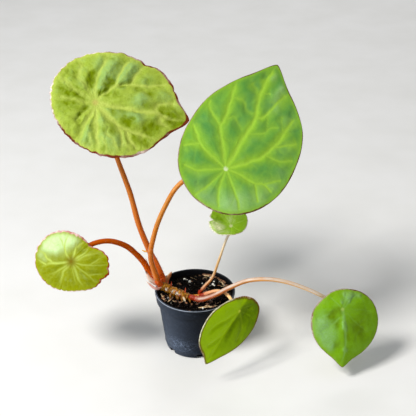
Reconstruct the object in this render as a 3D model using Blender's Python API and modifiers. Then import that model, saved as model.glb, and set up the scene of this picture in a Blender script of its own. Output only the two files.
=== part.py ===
"""Potted begonia: six shield-shaped leaves on long bent stalks, a knobby creeping stem
half sunk in soil, and a small turned plastic pot with notches in its foot.

All sizes below are millimetres and degrees. MM turns them into metres.
The origin is the middle of the pot's underside, +Z is up, and -Y is the front.
"""
import math

import bmesh
import bpy
import numpy as np
from mathutils import Matrix, Vector, noise

MM = 0.001
CLEAR = 0.3  # gap left between neighbouring pieces

# Pot: a turned bowl with a band under its rim
POT_HEIGHT = 47.0
RIM_RADIUS = 30.0
BAND_HEIGHT = 7.8
BAND_RADIUS = 29.4
BODY_RADIUS = 27.5  # just under the band
FOOT_RADIUS = 22.2
WALL = 1.2
FLOOR = 1.6
POT_STEPS = 40
FOOT_LINE = 4.8  # height of the faint raised line near the foot
LINE_PROUD = 0.25
NOTCH_COUNT = 6
NOTCH_WIDTH = 5.0
NOTCH_HEIGHT = 3.2
NOTCH_TURN = -50.0

# Soil: fills the pot to just under the rim, with chips and grains on top
SOIL_HEIGHT = 42.6
SOIL_RINGS = 8
SOIL_LUMP = 1.1
CHIP_COUNT = 30
CHIP_SEED = 7

# Creeping stem: a knobby rod that lies on the soil from the left rim to the middle
STEM_ROUTE = [(-26.5, -0.4, 51.9), (-24.5, -0.6, 50.8), (-21.5, -0.9, 49.1), (-17.6, -1.8, 47.4),
              (-13.0, -3.2, 45.9), (-8.6, -5.2, 44.9), (-4.6, -6.6, 44.2)]
STEM_RADIUS = 3.2
STEM_KNOB = 0.5
STEM_KNOBS = 6
TAIL_ROUTE = [(-6.0, -6.2, 44.2), (-1.0, -5.0, 43.4), (4.6, -3.6, 42.8)]
TAIL_RADIUS = 2.1
ROOTS = [((-20.0, -1.2, 48.0), (-19.5, -3.5, 37.0)), ((-15.0, -2.6, 46.0), (-16.0, 1.0, 35.0)),
         ((-10.5, -4.4, 45.0), (-9.0, -8.5, 34.5)), ((-5.0, -6.4, 44.0), (-6.0, -3.0, 33.0)),
         ((2.0, -4.3, 43.0), (3.5, -6.5, 33.5))]
ROOT_RADIUS = 0.9
SPIKES = [((-17.9, -0.5, 49.5), (-17.6, 0.3, 54.2)), ((-13.2, -2.6, 48.0), (-15.0, -6.8, 48.6)),
          ((-7.4, -4.6, 47.3), (-7.0, -3.6, 51.4)), ((-10.4, -5.6, 46.6), (-12.2, -9.6, 46.9)),
          ((-20.8, 0.8, 50.9), (-19.6, 2.4, 53.8)), ((3.4, -3.0, 44.2), (2.6, -0.4, 47.0))]
SPIKE_RADIUS = 0.55
STUB_LENGTH = 3.2

# Papery sheaths at the foot of the stalks: route, width, how far the sides roll up
SHEATHS = {
    "sheath_back": dict(route=[(-23.2, 0.6, 51.2), (-20.2, 5.4, 53.6), (-17.4, 6.4, 58.4)],
                        width=3.4, roll=0.9, side=(0.5, 0.2, -0.6), colour=(0.30, 0.16, 0.05)),
    "sheath_left": dict(route=[(-26.6, -2.2, 51.9), (-32.6, -5.6, 58.6), (-36.0, -6.2, 66.6)],
                        width=5.0, roll=1.2, side=(0.1, -1.0, 0.1), colour=(0.72, 0.52, 0.34)),
    "sheath_front": dict(route=[(-24.0, -2.6, 49.6), (-29.6, -6.8, 51.6), (-35.6, -7.2, 58.4)],
                         width=4.6, roll=1.0, side=(-0.4, -0.6, -0.8), colour=(0.66, 0.22, 0.16)),
    "sheath_tall": dict(route=[(-28.0, 1.6, 52.6), (-33.0, 3.8, 61.2), (-37.0, 3.2, 71.6)],
                        width=3.0, roll=0.8, side=(-0.2, 1.0, 0.3), colour=(0.80, 0.66, 0.56)),
}
SHEATH_THICKNESS = 0.6

# Leaves. joint is where the stalk meets the blade's underside, normal is the way the
# upper face looks and heading the way the tip points. margin holds the distance from the
# joint to the edge every 30 degrees, counter-clockwise from the tip. point adds the tip's
# length and half-width in degrees, and nick cuts in at an angle, by a depth, that many
# degrees wide. veins are the ribs' angles. The other values shape the blade's relief: see
# blade_height. route is the stalk, from its foot towards the joint.
BLADE_THICKNESS = 0.8
JOINT_GAP = 0.35
LEAVES = {
    "upper_left": dict(
        joint=(-67.6, 4.0, 196.0), normal=(0.05, -0.72, 0.69), heading=(0.986, -0.075, -0.15),
        margin=(51.2, 54.1, 45.0, 39.1, 37.6, 34.8, 32.4, 29.8, 30.9, 34.2, 43.0, 49.9),
        point=(15, 17), bowl=-3, fold=0, curl=-3, pucker=2.0, wave=1.6, waves=5, phase=0.6,
        veins=(0, 56, 96, 128, 155, 185, 235, 258, 284, 322), scallops=20, scallop=0.5,
        nick=(50, 2.0, 5), sectors=60, rings=7,
        colour=(0.36, 0.52, 0.07), stalk_colour=(0.60, 0.14, 0.02),
        route=[(-25.6, 4.2, 57.6), (-29.5, 5.6, 67.6), (-33.5, 6.0, 76.9), (-40.7, 6.0, 98.9),
               (-46.4, 7.0, 124.6), (-54.1, 9.0, 149.2), (-62.0, 13.6, 173.0)],
        approach=12, radii=(2.3, 2.1, 1.8, 1.6)),
    "upper_right": dict(
        joint=(21.6, -33.0, 163.5), normal=(0.30, -0.74, 0.60), heading=(0.437, 0.667, 0.604),
        margin=(76.1, 56.7, 41.9, 35.2, 32.8, 30.5, 29.0, 30.7, 34.0, 39.8, 50.3, 66.8),
        point=(11, 8), bowl=-3, fold=0.04, curl=-5, pucker=0.6, wave=1.0, waves=3, phase=1.0,
        veins=(0, 36, 77, 124, 160, 190, 226, 276, 318), scallops=0, scallop=0,
        nick=(0, 0, 5), sectors=60, rings=7,
        colour=(0.10, 0.36, 0.05), stalk_colour=(0.68, 0.24, 0.03),
        route=[(-27.9, -4.2, 58.6), (-31.6, -7.2, 75.3), (-31.8, -8.2, 84.4), (-30.4, -9.4, 93.0),
               (-26.4, -11.0, 108.7), (-20.4, -14.0, 124.8), (-12.8, -17.4, 140.6),
               (-3.6, -20.6, 150.8), (6.6, -22.2, 156.2), (14.4, -24.2, 157.8)],
        approach=7, radii=(2.0, 1.8, 1.7, 1.6)),
    "left": dict(
        joint=(-86.8, -30.0, 89.5), normal=(-0.33, -0.84, 0.43), heading=(0.882, -0.437, -0.178),
        margin=(22.9, 25.4, 17.0, 18.5, 21.5, 26.5, 30.8, 30.9, 28.0, 23.3, 21.8, 23.6),
        point=(5, 17), bowl=-6, fold=0, curl=-3, pucker=1.8, wave=0.8, waves=4, phase=0.3,
        veins=(12, 40, 60, 90, 145, 178, 208, 235, 256, 300, 316, 343), scallops=20, scallop=0.8,
        nick=(0, 0, 5), sectors=60, rings=5,
        colour=(0.42, 0.56, 0.03), stalk_colour=(0.56, 0.10, 0.01),
        route=[(-31.6, 0.2, 57.2), (-34.2, -0.8, 63.8), (-38.0, -3.0, 73.2), (-43.3, -7.0, 82.8),
               (-49.4, -11.0, 91.1), (-59.0, -15.6, 97.6), (-68.6, -18.4, 98.4),
               (-77.2, -19.6, 94.6), (-82.8, -21.6, 89.0)],
        approach=6, radii=(2.3, 2.1, 1.9, 1.8)),
    "young": dict(
        joint=(26.3, -2.0, 102.5), normal=(-0.10, -0.50, 0.86), heading=(0.962, 0.172, 0.212),
        margin=(12.9, 13.5, 14.7, 15.1, 16.5, 16.0, 15.0, 13.1, 10.0, 10.4, 12.0, 12.0),
        point=(0, 16), bowl=4, fold=0, curl=0, pucker=0.5, wave=0.8, waves=4, phase=0.0,
        veins=(0, 50, 100, 150, 200, 250, 300), scallops=12, scallop=0.5,
        nick=(152, 2.6, 8), sectors=36, rings=4,
        colour=(0.24, 0.48, 0.02), stalk_colour=(0.66, 0.36, 0.12),
        route=[(5.2, -2.1, 48.0), (7.9, -2.0, 51.9), (13.3, -1.0, 59.0), (18.3, 0.0, 74.4),
               (23.1, 1.0, 89.5)],
        approach=6, radii=(1.2, 1.0, 0.9, 0.9)),
    "front": dict(
        joint=(32.0, -40.0, 54.3), normal=(0.57, -0.82, 0.04), heading=(-0.514, -0.394, -0.762),
        margin=(38.1, 29.7, 23.3, 18.6, 17.7, 14.5, 12.1, 11.5, 13.8, 18.7, 30.9, 38.3),
        point=(7, 8), bowl=-1, fold=0.12, curl=-1, pucker=0.6, wave=0.5, waves=5, phase=0.0,
        veins=(0, 42, 78, 114, 150, 180, 210, 246, 288, 324), scallops=0, scallop=0,
        nick=(0, 0, 5), sectors=60, rings=5,
        colour=(0.22, 0.46, 0.01), stalk_colour=(0.62, 0.30, 0.09),
        route=[(7.2, -6.6, 46.9), (10.5, -7.2, 48.7), (15.6, -9.0, 51.4), (20.4, -12.0, 52.5),
               (24.0, -16.0, 52.4), (26.6, -21.5, 51.8)],
        approach=8, radii=(1.4, 1.2, 1.1, 1.1)),
    "right": dict(
        joint=(106.2, -35.0, 52.5), normal=(0.22, -0.88, 0.42), heading=(0.034, -0.424, -0.905),
        margin=(37.0, 36.5, 33.2, 27.0, 20.4, 15.8, 14.2, 14.2, 15.9, 20.2, 25.5, 31.7),
        point=(6, 8), bowl=-4, fold=-0.10, curl=-1, pucker=1.0, wave=0.6, waves=3, phase=2.0,
        veins=(5, 44, 84, 132, 162, 186, 222, 258, 286, 324), scallops=0, scallop=0,
        nick=(0, 0, 5), sectors=60, rings=5,
        colour=(0.13, 0.36, 0.01), stalk_colour=(0.74, 0.46, 0.32),
        route=[(0.2, -10.3, 45.8), (3.4, -11.6, 45.6), (7.8, -13.0, 47.3), (15.0, -15.5, 52.0),
               (25.1, -19.0, 60.5), (38.5, -22.0, 68.5), (52.8, -24.0, 70.9), (64.9, -25.5, 69.8),
               (75.8, -26.5, 66.5), (86.7, -27.0, 61.6), (97.0, -26.0, 54.8)],
        approach=6, radii=(1.9, 1.6, 1.4, 1.3)),
}
STALK_POINTS_PER_SPAN = 2
STRAIGHT_END = 1.0
SPUR = [(-33.2, 6.0, 79.5), (-36.0, 4.8, 79.6), (-37.6, 4.2, 80.6)]  # dried scrap on a stalk
SPUR_RADII = (0.9, 0.7, 0.25)


def new_collection(name):
    collection = bpy.data.collections.new(name)
    bpy.context.scene.collection.children.link(collection)
    return collection


def add_object(name, mesh, collection):
    obj = bpy.data.objects.new(name, mesh)
    collection.objects.link(obj)
    return obj


def paint(obj, colour, roughness):
    """Give the object its own plain Principled material."""
    material = bpy.data.materials.new(obj.name)
    material.use_nodes = True
    shader = material.node_tree.nodes["Principled BSDF"]
    shader.inputs["Base Color"].default_value = (*colour, 1.0)
    shader.inputs["Roughness"].default_value = roughness
    shader.inputs["Metallic"].default_value = 0.0
    obj.data.materials.clear()
    obj.data.materials.append(material)


def apply_modifiers(obj):
    """Replace the object's mesh by what its modifiers make of it."""
    evaluated = obj.evaluated_get(bpy.context.evaluated_depsgraph_get())
    mesh = bpy.data.meshes.new_from_object(evaluated)
    obj.modifiers.clear()
    obj.data = mesh


def keep_largest_piece(obj):
    """Drop the loose scraps that a cut can leave."""
    bm = bmesh.new()
    bm.from_mesh(obj.data)
    unseen = set(bm.verts)
    pieces = []
    while unseen:
        stack = [unseen.pop()]
        piece = set(stack)
        while stack:
            for edge in stack.pop().link_edges:
                for vert in edge.verts:
                    if vert in unseen:
                        unseen.remove(vert)
                        piece.add(vert)
                        stack.append(vert)
        pieces.append(piece)
    largest = max(pieces, key=len)
    scraps = [vert for vert in bm.verts if vert not in largest]
    bmesh.ops.delete(bm, geom=scraps, context="VERTS")
    bm.to_mesh(obj.data)
    bm.free()


def combine(obj, operation, collection):
    """Join the collection's objects to obj, or cut them from it, and remove them."""
    modifier = obj.modifiers.new(operation.lower(), "BOOLEAN")
    modifier.operation = operation
    modifier.operand_type = "COLLECTION"
    modifier.collection = collection
    modifier.solver = "EXACT"
    apply_modifiers(obj)
    for operand in list(collection.objects):
        bpy.data.objects.remove(operand)
    bpy.data.collections.remove(collection)
    keep_largest_piece(obj)


def turned(name, profile, steps, collection):
    """Turn a profile of (radius, height) points round Z."""
    mesh = bpy.data.meshes.new(name)
    points = [(radius * MM, 0.0, height * MM) for radius, height in profile]
    mesh.from_pydata(points, [(i, i + 1) for i in range(len(points) - 1)], [])
    obj = add_object(name, mesh, collection)
    screw = obj.modifiers.new("turn", "SCREW")
    screw.axis = "Z"
    screw.steps = screw.render_steps = steps
    screw.use_merge_vertices = True
    screw.merge_threshold = 0.00001
    apply_modifiers(obj)
    return obj


def smooth_route(route, points_per_span):
    """Points on a Catmull-Rom curve through the route's own points."""
    knots = [Vector(point) for point in route]
    knots = [2 * knots[0] - knots[1]] + knots + [2 * knots[-1] - knots[-2]]
    points = []
    for before, start, end, after in zip(knots, knots[1:], knots[2:], knots[3:]):
        for step in range(points_per_span):
            t = step / points_per_span
            cubic = 3 * (start - end) + after - before
            square = 2 * before - 5 * start + 4 * end - after
            points.append(start + 0.5 * t * (end - before + t * (square + t * cubic)))
    points.append(knots[-2])
    return points


def tube(name, points, radii, resolution, collection):
    """A round rod through points, with filled caps and radii spread evenly along it."""
    curve = bpy.data.curves.new(name, "CURVE")
    curve.dimensions = "3D"
    curve.bevel_depth = MM
    curve.bevel_resolution = resolution
    curve.use_fill_caps = True
    spline = curve.splines.new("POLY")
    spline.points.add(len(points) - 1)
    places = np.linspace(0, len(radii) - 1, len(points))
    for point, place, spot in zip(points, places, spline.points):
        spot.co = (*(MM * Vector(point)), 1.0)
        spot.radius = float(np.interp(place, range(len(radii)), radii))
    rod = add_object(name + "_curve", curve, collection)
    evaluated = rod.evaluated_get(bpy.context.evaluated_depsgraph_get())
    mesh = bpy.data.meshes.new_from_object(evaluated)
    bm = bmesh.new()
    bm.from_mesh(mesh)
    bmesh.ops.remove_doubles(bm, verts=bm.verts, dist=0.001 * MM)
    bm.to_mesh(mesh)
    bm.free()
    obj = add_object(name, mesh, collection)
    obj.matrix_world = rod.matrix_world.copy()
    bpy.data.objects.remove(rod)
    return obj


def pot_radius(height):
    """The pot's outer radius under its band, which tapers evenly to the foot."""
    body_height = POT_HEIGHT - BAND_HEIGHT
    return FOOT_RADIUS + (BODY_RADIUS - FOOT_RADIUS) * height / body_height


def pot_inside(inset):
    """Profile of the pot's inner face from the floor to the rim, moved in by inset."""
    band_bottom = POT_HEIGHT - BAND_HEIGHT
    foot = FOOT_RADIUS - WALL - inset
    return [(foot - 1.2, FLOOR + inset), (foot, FLOOR + inset + 1.4),
            (BODY_RADIUS - WALL - inset, band_bottom - 0.8),
            (BAND_RADIUS - WALL - 0.3 - inset, band_bottom + 0.8),
            (BAND_RADIUS - WALL - inset, POT_HEIGHT - 1)]


def make_pot(collection):
    band_bottom = POT_HEIGHT - BAND_HEIGHT
    profile = [(0, FLOOR)] + pot_inside(0)
    profile += [(BAND_RADIUS - 0.7, POT_HEIGHT), (RIM_RADIUS - 0.5, POT_HEIGHT),
                (RIM_RADIUS, POT_HEIGHT - 0.5), (RIM_RADIUS, POT_HEIGHT - 1.6),
                (BAND_RADIUS, POT_HEIGHT - 2.1), (BAND_RADIUS - 0.3, band_bottom + 0.5),
                (BAND_RADIUS - 0.8, band_bottom), (BODY_RADIUS, band_bottom - 0.5),
                (pot_radius(FOOT_LINE + 0.6), FOOT_LINE + 0.6),
                (pot_radius(FOOT_LINE) + LINE_PROUD, FOOT_LINE),
                (pot_radius(FOOT_LINE - 0.6), FOOT_LINE - 0.6),
                (FOOT_RADIUS, 1.6), (FOOT_RADIUS - 0.5, 0.5), (FOOT_RADIUS - 1.4, 0), (0, 0)]
    pot = turned("pot", profile, POT_STEPS, collection)
    notches = new_collection("notches")
    for index in range(NOTCH_COUNT):
        turn = math.radians(NOTCH_TURN + 360 / NOTCH_COUNT * index - 90)
        bm = bmesh.new()
        place = (Matrix.Rotation(turn, 4, "Z") @ Matrix.Translation((FOOT_RADIUS * MM, 0, 0))
                 @ Matrix.Diagonal((5 * MM, NOTCH_WIDTH * MM, 2 * NOTCH_HEIGHT * MM, 1)))
        bmesh.ops.create_cube(bm, size=1.0, matrix=place)
        mesh = bpy.data.meshes.new("notch")
        bm.to_mesh(mesh)
        bm.free()
        cutter = add_object("notch", mesh, notches)
        cutter.hide_render = True
        cutter.display_type = "WIRE"
    combine(pot, "DIFFERENCE", notches)
    pot.data.shade_smooth()
    pot.data.set_sharp_from_angle(angle=math.radians(35))
    paint(pot, (0.018, 0.022, 0.030), 0.38)
    return pot


def soil_height(x, y):
    """The soil's surface: heaped at the front left and at the back right, lumpy all over."""
    heap = 1.8 * math.exp(-((x + 16) ** 2 + (y + 14) ** 2) / 90)
    heap += 1.6 * math.exp(-((x - 14) ** 2 + (y - 17) ** 2) / 110)
    coarse = noise.noise(Vector((x / 6.5, y / 6.5, 3.1)))
    fine = noise.noise(Vector((x / 2.6, y / 2.6, 9.4)))
    return SOIL_HEIGHT + heap + SOIL_LUMP * (coarse + 0.5 * fine)


def distance_to_routes(spot, routes):
    return min((spot - Vector(point)).length for route in routes for point in route)


def make_chips(routes):
    """Chips of bark and white grains strewn over the soil, clear of stems and wall."""
    draw = np.random.default_rng(CHIP_SEED)
    chips = new_collection("chips")
    while len(chips.objects) < CHIP_COUNT:
        radius = 23.4 * math.sqrt(draw.random())
        angle = 2 * math.pi * draw.random()
        size = draw.uniform(0.9, 2.0)
        stretch = (draw.uniform(1.0, 2.0), draw.uniform(0.7, 1.1), draw.uniform(0.5, 0.8))
        turn = draw.uniform(0, math.pi)
        tilt = draw.uniform(-0.35, 0.35)
        x, y = radius * math.cos(angle), radius * math.sin(angle)
        spot = Vector((x, y, soil_height(x, y) + 0.15 * size))
        if distance_to_routes(spot, routes) < 5.2 + size:
            continue
        place = (Matrix.Translation(spot * MM) @ Matrix.Rotation(turn, 4, "Z")
                 @ Matrix.Rotation(tilt, 4, "X") @ Matrix.Diagonal((*stretch, 1)))
        bm = bmesh.new()
        bmesh.ops.create_icosphere(bm, subdivisions=1, radius=size * MM, matrix=place)
        mesh = bpy.data.meshes.new("chip")
        bm.to_mesh(mesh)
        bm.free()
        add_object("chip", mesh, chips)
    return chips


def make_soil(collection, routes):
    wall = pot_inside(CLEAR)[::-1]
    top_radius = wall[0][0]
    profile = [(top_radius * ring / SOIL_RINGS, POT_HEIGHT) for ring in range(SOIL_RINGS + 1)]
    profile += wall[1:] + [(0, FLOOR + CLEAR)]
    soil = turned("soil", profile, POT_STEPS, collection)
    for vert in soil.data.vertices:
        if vert.co.z > (POT_HEIGHT - 0.1) * MM:
            vert.co.z = MM * soil_height(vert.co.x / MM, vert.co.y / MM)
    combine(soil, "UNION", make_chips(routes))
    bed = new_collection("bed")
    make_stem("bed_cutter", bed, CLEAR)
    combine(soil, "DIFFERENCE", bed)
    paint(soil, (0.020, 0.014, 0.010), 0.95)
    return soil


def stem_radii(grow):
    """The rod's radius swells into a ring at each old leaf scar."""
    samples = 6 * STEM_KNOBS + 1
    along = np.linspace(0, 1, samples)
    knob = STEM_KNOB * (0.5 - 0.5 * np.cos(2 * np.pi * STEM_KNOBS * along)) ** 2
    taper = np.interp(along, (0, 0.12, 0.85, 1), (-1.3, 0, 0, -0.7))
    return STEM_RADIUS + knob + taper + grow


def stalk_foot(leaf):
    """Where a leaf's stalk starts and the way it sets off."""
    foot = Vector(leaf["route"][0])
    return foot, (Vector(leaf["route"][1]) - foot).normalized()


def stub_route(leaf):
    """The short rise from the stem to the foot of a leaf's stalk."""
    foot, along = stalk_foot(leaf)
    nearest = min(STEM_ROUTE[1:] + TAIL_ROUTE[1:], key=lambda point: (Vector(point) - foot).length)
    return [Vector(nearest), foot - STUB_LENGTH * along, foot - CLEAR * along]


def make_stem(name, collection, grow=0.0):
    """The creeping stem with its stubs, roots and spikes; grow fattens a cutter's copy."""
    points = smooth_route(STEM_ROUTE, 6)
    stem = tube(name, points, stem_radii(grow), 2, collection)
    parts = new_collection(name + "_parts")
    tube("tail", smooth_route(TAIL_ROUTE, 3), (TAIL_RADIUS + grow,), 2, parts)
    for leaf in LEAVES.values():
        foot_radius = leaf["radii"][0] + 0.25 + grow
        tube("stub", stub_route(leaf), (foot_radius,), 2, parts)
    for start, end in ROOTS:
        reach = Vector(end) - Vector(start)
        end = Vector(end) + grow * reach.normalized()
        bend = Vector(start).lerp(end, 0.5) + Vector((0.6, 0, 0))
        radii = (ROOT_RADIUS + grow, ROOT_RADIUS + grow, 0.5 * ROOT_RADIUS + grow)
        tube("root", (start, bend, end), radii, 1, parts)
    if not grow:
        for start, end in SPIKES:
            middle = Vector(start).lerp(Vector(end), 0.5)
            tube("spike", (start, middle, end), (SPIKE_RADIUS, 0.7 * SPIKE_RADIUS, 0.12), 0, parts)
    combine(stem, "UNION", parts)
    return stem


def leaf_axes(leaf):
    """The blade's own axes: towards the tip, across it, and out of the upper face."""
    normal = Vector(leaf["normal"]).normalized()
    heading = Vector(leaf["heading"])
    heading = (heading - heading.dot(normal) * normal).normalized()
    return heading, normal.cross(heading), normal


def margin_radius(angle, leaf):
    """Distance from joint to edge: a smooth closed curve through the margin values, plus
    the drawn-out tip, less the torn nick and the notches between the scallops."""
    margin = np.array(leaf["margin"], dtype=float)
    count = len(margin)
    place = (angle / (2 * np.pi) * count) % count
    index = np.floor(place).astype(int)
    t = place - index
    before, start, end, after = (margin[(index + k) % count] for k in (-1, 0, 1, 2))
    square = 2 * before - 5 * start + 4 * end - after
    cubic = 3 * (start - end) + after - before
    radius = start + 0.5 * t * (end - before + t * (square + t * cubic))
    tip_length, tip_width = leaf["point"]
    from_tip = np.abs((angle + np.pi) % (2 * np.pi) - np.pi)
    radius = radius + tip_length * np.exp(-(from_tip / math.radians(tip_width)) ** 1.4)
    nick_at, nick_depth, nick_width = leaf["nick"]
    from_nick = np.abs((np.degrees(angle) - nick_at + 180) % 360 - 180)
    radius = radius - nick_depth * np.exp(-(from_nick / nick_width) ** 2)
    return radius - leaf["scallop"] * np.maximum(0, np.cos(leaf["scallops"] * angle))


def blade_height(share, angle, leaf):
    """Height of the blade over its joint's plane, at a share of the way to the margin: a
    shallow bowl, a fold along the midrib, a curled tip, panels that rise between the
    sunken ribs, and a margin that waves."""
    radius = margin_radius(angle, leaf)
    along = share * radius * np.cos(angle)
    across = share * radius * np.sin(angle)
    height = leaf["bowl"] * share ** 2 + leaf["fold"] * (np.sqrt(across ** 2 + 9) - 3)
    length = leaf["margin"][0] + leaf["point"][0]
    height = height + leaf["curl"] * (np.clip(along / length - 0.55, 0, 1) / 0.45) ** 2
    veins = np.array(leaf["veins"] + (leaf["veins"][0] + 360,), dtype=float)
    degrees = np.degrees(angle) % 360
    degrees = np.where(degrees < veins[0], degrees + 360, degrees)
    index = np.clip(np.searchsorted(veins, degrees, side="right") - 1, 0, len(veins) - 2)
    between = (degrees - veins[index]) / (veins[index + 1] - veins[index])
    rise = np.sin(0.85 * np.pi * share ** 0.8)
    height = height + leaf["pucker"] * np.sin(np.pi * between) * rise
    return height + leaf["wave"] * share ** 3 * np.sin(leaf["waves"] * angle + leaf["phase"])


def make_blade(name, leaf, collection):
    """A grid bent into rings and sectors round the joint, then given its thickness."""
    bm = bmesh.new()
    bmesh.ops.create_grid(bm, x_segments=leaf["sectors"], y_segments=leaf["rings"], size=0.5)
    flat = np.array([vert.co[:2] for vert in bm.verts])
    angle = 2 * np.pi * (0.5 - flat[:, 0])
    share = np.clip(flat[:, 1] + 0.5, 0, 1)
    radius = share * margin_radius(angle, leaf)
    heading, across, normal = (np.array(axis) for axis in leaf_axes(leaf))
    places = np.array(leaf["joint"]) + np.outer(radius * np.cos(angle), heading)
    places += np.outer(radius * np.sin(angle), across)
    places += np.outer(blade_height(share, angle, leaf), normal)
    for vert, place in zip(bm.verts, places):
        vert.co = place * MM
    bmesh.ops.remove_doubles(bm, verts=bm.verts, dist=0.01 * MM)
    bmesh.ops.triangulate(bm, faces=bm.faces)
    mesh = bpy.data.meshes.new(name)
    bm.to_mesh(mesh)
    bm.free()
    blade = add_object(name, mesh, collection)
    solidify = blade.modifiers.new("thickness", "SOLIDIFY")
    solidify.thickness = BLADE_THICKNESS * MM
    solidify.offset = 0.0
    apply_modifiers(blade)
    paint(blade, leaf["colour"], 0.42)
    return blade


def stalk_points(leaf):
    """A smooth run through the stalk's own points, with a straight end at its foot and
    another that meets the blade's underside squarely."""
    foot, along = stalk_foot(leaf)
    normal = leaf_axes(leaf)[2]
    joint = Vector(leaf["joint"])
    end = joint - (BLADE_THICKNESS / 2 + JOINT_GAP) * normal
    route = [foot + STRAIGHT_END * along, *leaf["route"][1:],
             joint - leaf["approach"] * normal, end - STRAIGHT_END * normal]
    return [foot, *smooth_route(route, STALK_POINTS_PER_SPAN), end]


def make_stalk(name, leaf, collection):
    return tube(name, stalk_points(leaf), leaf["radii"], 2, collection)


def add_spur(stalk):
    """The dried scrap of an old sheath that sticks out of the tallest stalk."""
    spurs = new_collection("spurs")
    tube("spur", SPUR, SPUR_RADII, 0, spurs)
    combine(stalk, "UNION", spurs)


def make_sheath(name, sheath, collection):
    """A pointed papery scale: a grid that narrows to its tip and rolls round its route."""
    bm = bmesh.new()
    bmesh.ops.create_grid(bm, x_segments=4, y_segments=5, size=0.5)
    route = smooth_route(sheath["route"], 4)
    side = Vector(sheath["side"]).normalized()
    for vert in bm.verts:
        across, along = 2 * vert.co.x, vert.co.y + 0.5
        place = along * (len(route) - 1)
        index = min(int(place), len(route) - 2)
        spot = route[index].lerp(route[index + 1], place - index)
        forward = (route[index + 1] - route[index]).normalized()
        sideways = forward.cross(side).normalized()
        outward = sideways.cross(forward)
        half = sheath["width"] / 2 * (1 - 0.85 * along ** 1.5)
        bend = sheath["roll"] * across
        offset = half * (math.sin(bend) * sideways - (1 - math.cos(bend)) * outward)
        vert.co = (spot + offset) * MM
    bmesh.ops.triangulate(bm, faces=bm.faces)
    mesh = bpy.data.meshes.new(name)
    bm.to_mesh(mesh)
    bm.free()
    obj = add_object(name, mesh, collection)
    solidify = obj.modifiers.new("thickness", "SOLIDIFY")
    solidify.thickness = SHEATH_THICKNESS * MM
    solidify.offset = 0.0
    apply_modifiers(obj)
    seat = new_collection("seat")
    make_stem("seat_cutter", seat, CLEAR)
    combine(obj, "DIFFERENCE", seat)
    paint(obj, sheath["colour"], 0.6)


def main():
    for obj in list(bpy.data.objects):
        bpy.data.objects.remove(obj)
    plant = new_collection("potted_begonia")
    make_pot(plant)
    routes = [smooth_route(route, 4) for route in (STEM_ROUTE, TAIL_ROUTE)]
    routes += [smooth_route(leaf["route"][:4], 4) for leaf in LEAVES.values()]
    make_soil(plant, routes)
    stem = make_stem("creeping_stem", plant)
    paint(stem, (0.22, 0.15, 0.03), 0.7)
    for name, leaf in LEAVES.items():
        make_blade("blade_" + name, leaf, plant)
        stalk = make_stalk("stalk_" + name, leaf, plant)
        if name == "upper_left":
            add_spur(stalk)
        stalk.data.shade_smooth()
        paint(stalk, leaf["stalk_colour"], 0.45)
    for name, sheath in SHEATHS.items():
        make_sheath(name, sheath, plant)


main()
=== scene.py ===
"""Looks of the potted begonia: fine leaf blades with sunken ribs and raised panels, hairy
stalks, a knobby creeping stem, papery sheaths, loose soil and a turned plastic pot.

Lengths here are millimetres and angles degrees; MM turns a length into metres. Every piece
is a closed surface worked out on a grid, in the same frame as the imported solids.
"""
import functools
import itertools
import logging
import math
from dataclasses import dataclass, field
from enum import Enum
from typing import Optional, Union

import bpy
import numpy as np
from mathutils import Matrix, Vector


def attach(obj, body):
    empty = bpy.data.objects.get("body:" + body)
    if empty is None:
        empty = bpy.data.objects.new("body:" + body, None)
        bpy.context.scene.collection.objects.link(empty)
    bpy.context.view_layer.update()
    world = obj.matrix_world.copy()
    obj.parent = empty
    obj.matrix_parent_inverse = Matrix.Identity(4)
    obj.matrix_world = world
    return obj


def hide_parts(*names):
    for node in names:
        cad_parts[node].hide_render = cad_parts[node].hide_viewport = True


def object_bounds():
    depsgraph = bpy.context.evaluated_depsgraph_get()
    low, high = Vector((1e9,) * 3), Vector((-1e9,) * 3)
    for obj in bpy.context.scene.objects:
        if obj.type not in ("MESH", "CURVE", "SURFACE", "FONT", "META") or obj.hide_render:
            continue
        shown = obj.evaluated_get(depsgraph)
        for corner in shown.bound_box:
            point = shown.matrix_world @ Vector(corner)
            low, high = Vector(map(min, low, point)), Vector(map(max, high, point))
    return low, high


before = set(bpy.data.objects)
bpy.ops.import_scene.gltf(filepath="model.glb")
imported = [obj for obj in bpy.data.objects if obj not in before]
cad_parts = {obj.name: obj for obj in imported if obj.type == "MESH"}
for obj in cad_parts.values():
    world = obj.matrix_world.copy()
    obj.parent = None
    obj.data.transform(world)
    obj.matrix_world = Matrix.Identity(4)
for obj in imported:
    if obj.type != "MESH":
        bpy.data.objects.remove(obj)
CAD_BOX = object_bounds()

MM = 0.001
BODY = "root"
LOG = logging.getLogger("potted_begonia")
UP = np.array([0.0, 0.0, 1.0])

Array = np.ndarray
Output = bpy.types.NodeSocket
Colour = tuple[float, float, float]
Spot = tuple[float, float, float]
Socket = Union[float, Colour, Output]


def rgb(*screen: int) -> Colour:
    """Turn a screen colour into linear light.

    Args:
        screen: Red, green and blue from 0 to 255.

    Returns:
        The linear values: part / 12.92 in the dark, else ((part + 0.055) / 1.055) ^ 2.4.
    """
    parts = (value / 255 for value in screen)
    return tuple(part / 12.92 if part <= 0.04045 else ((part + 0.055) / 1.055) ** 2.4
                 for part in parts)


# Numbers, noise and curves

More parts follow.
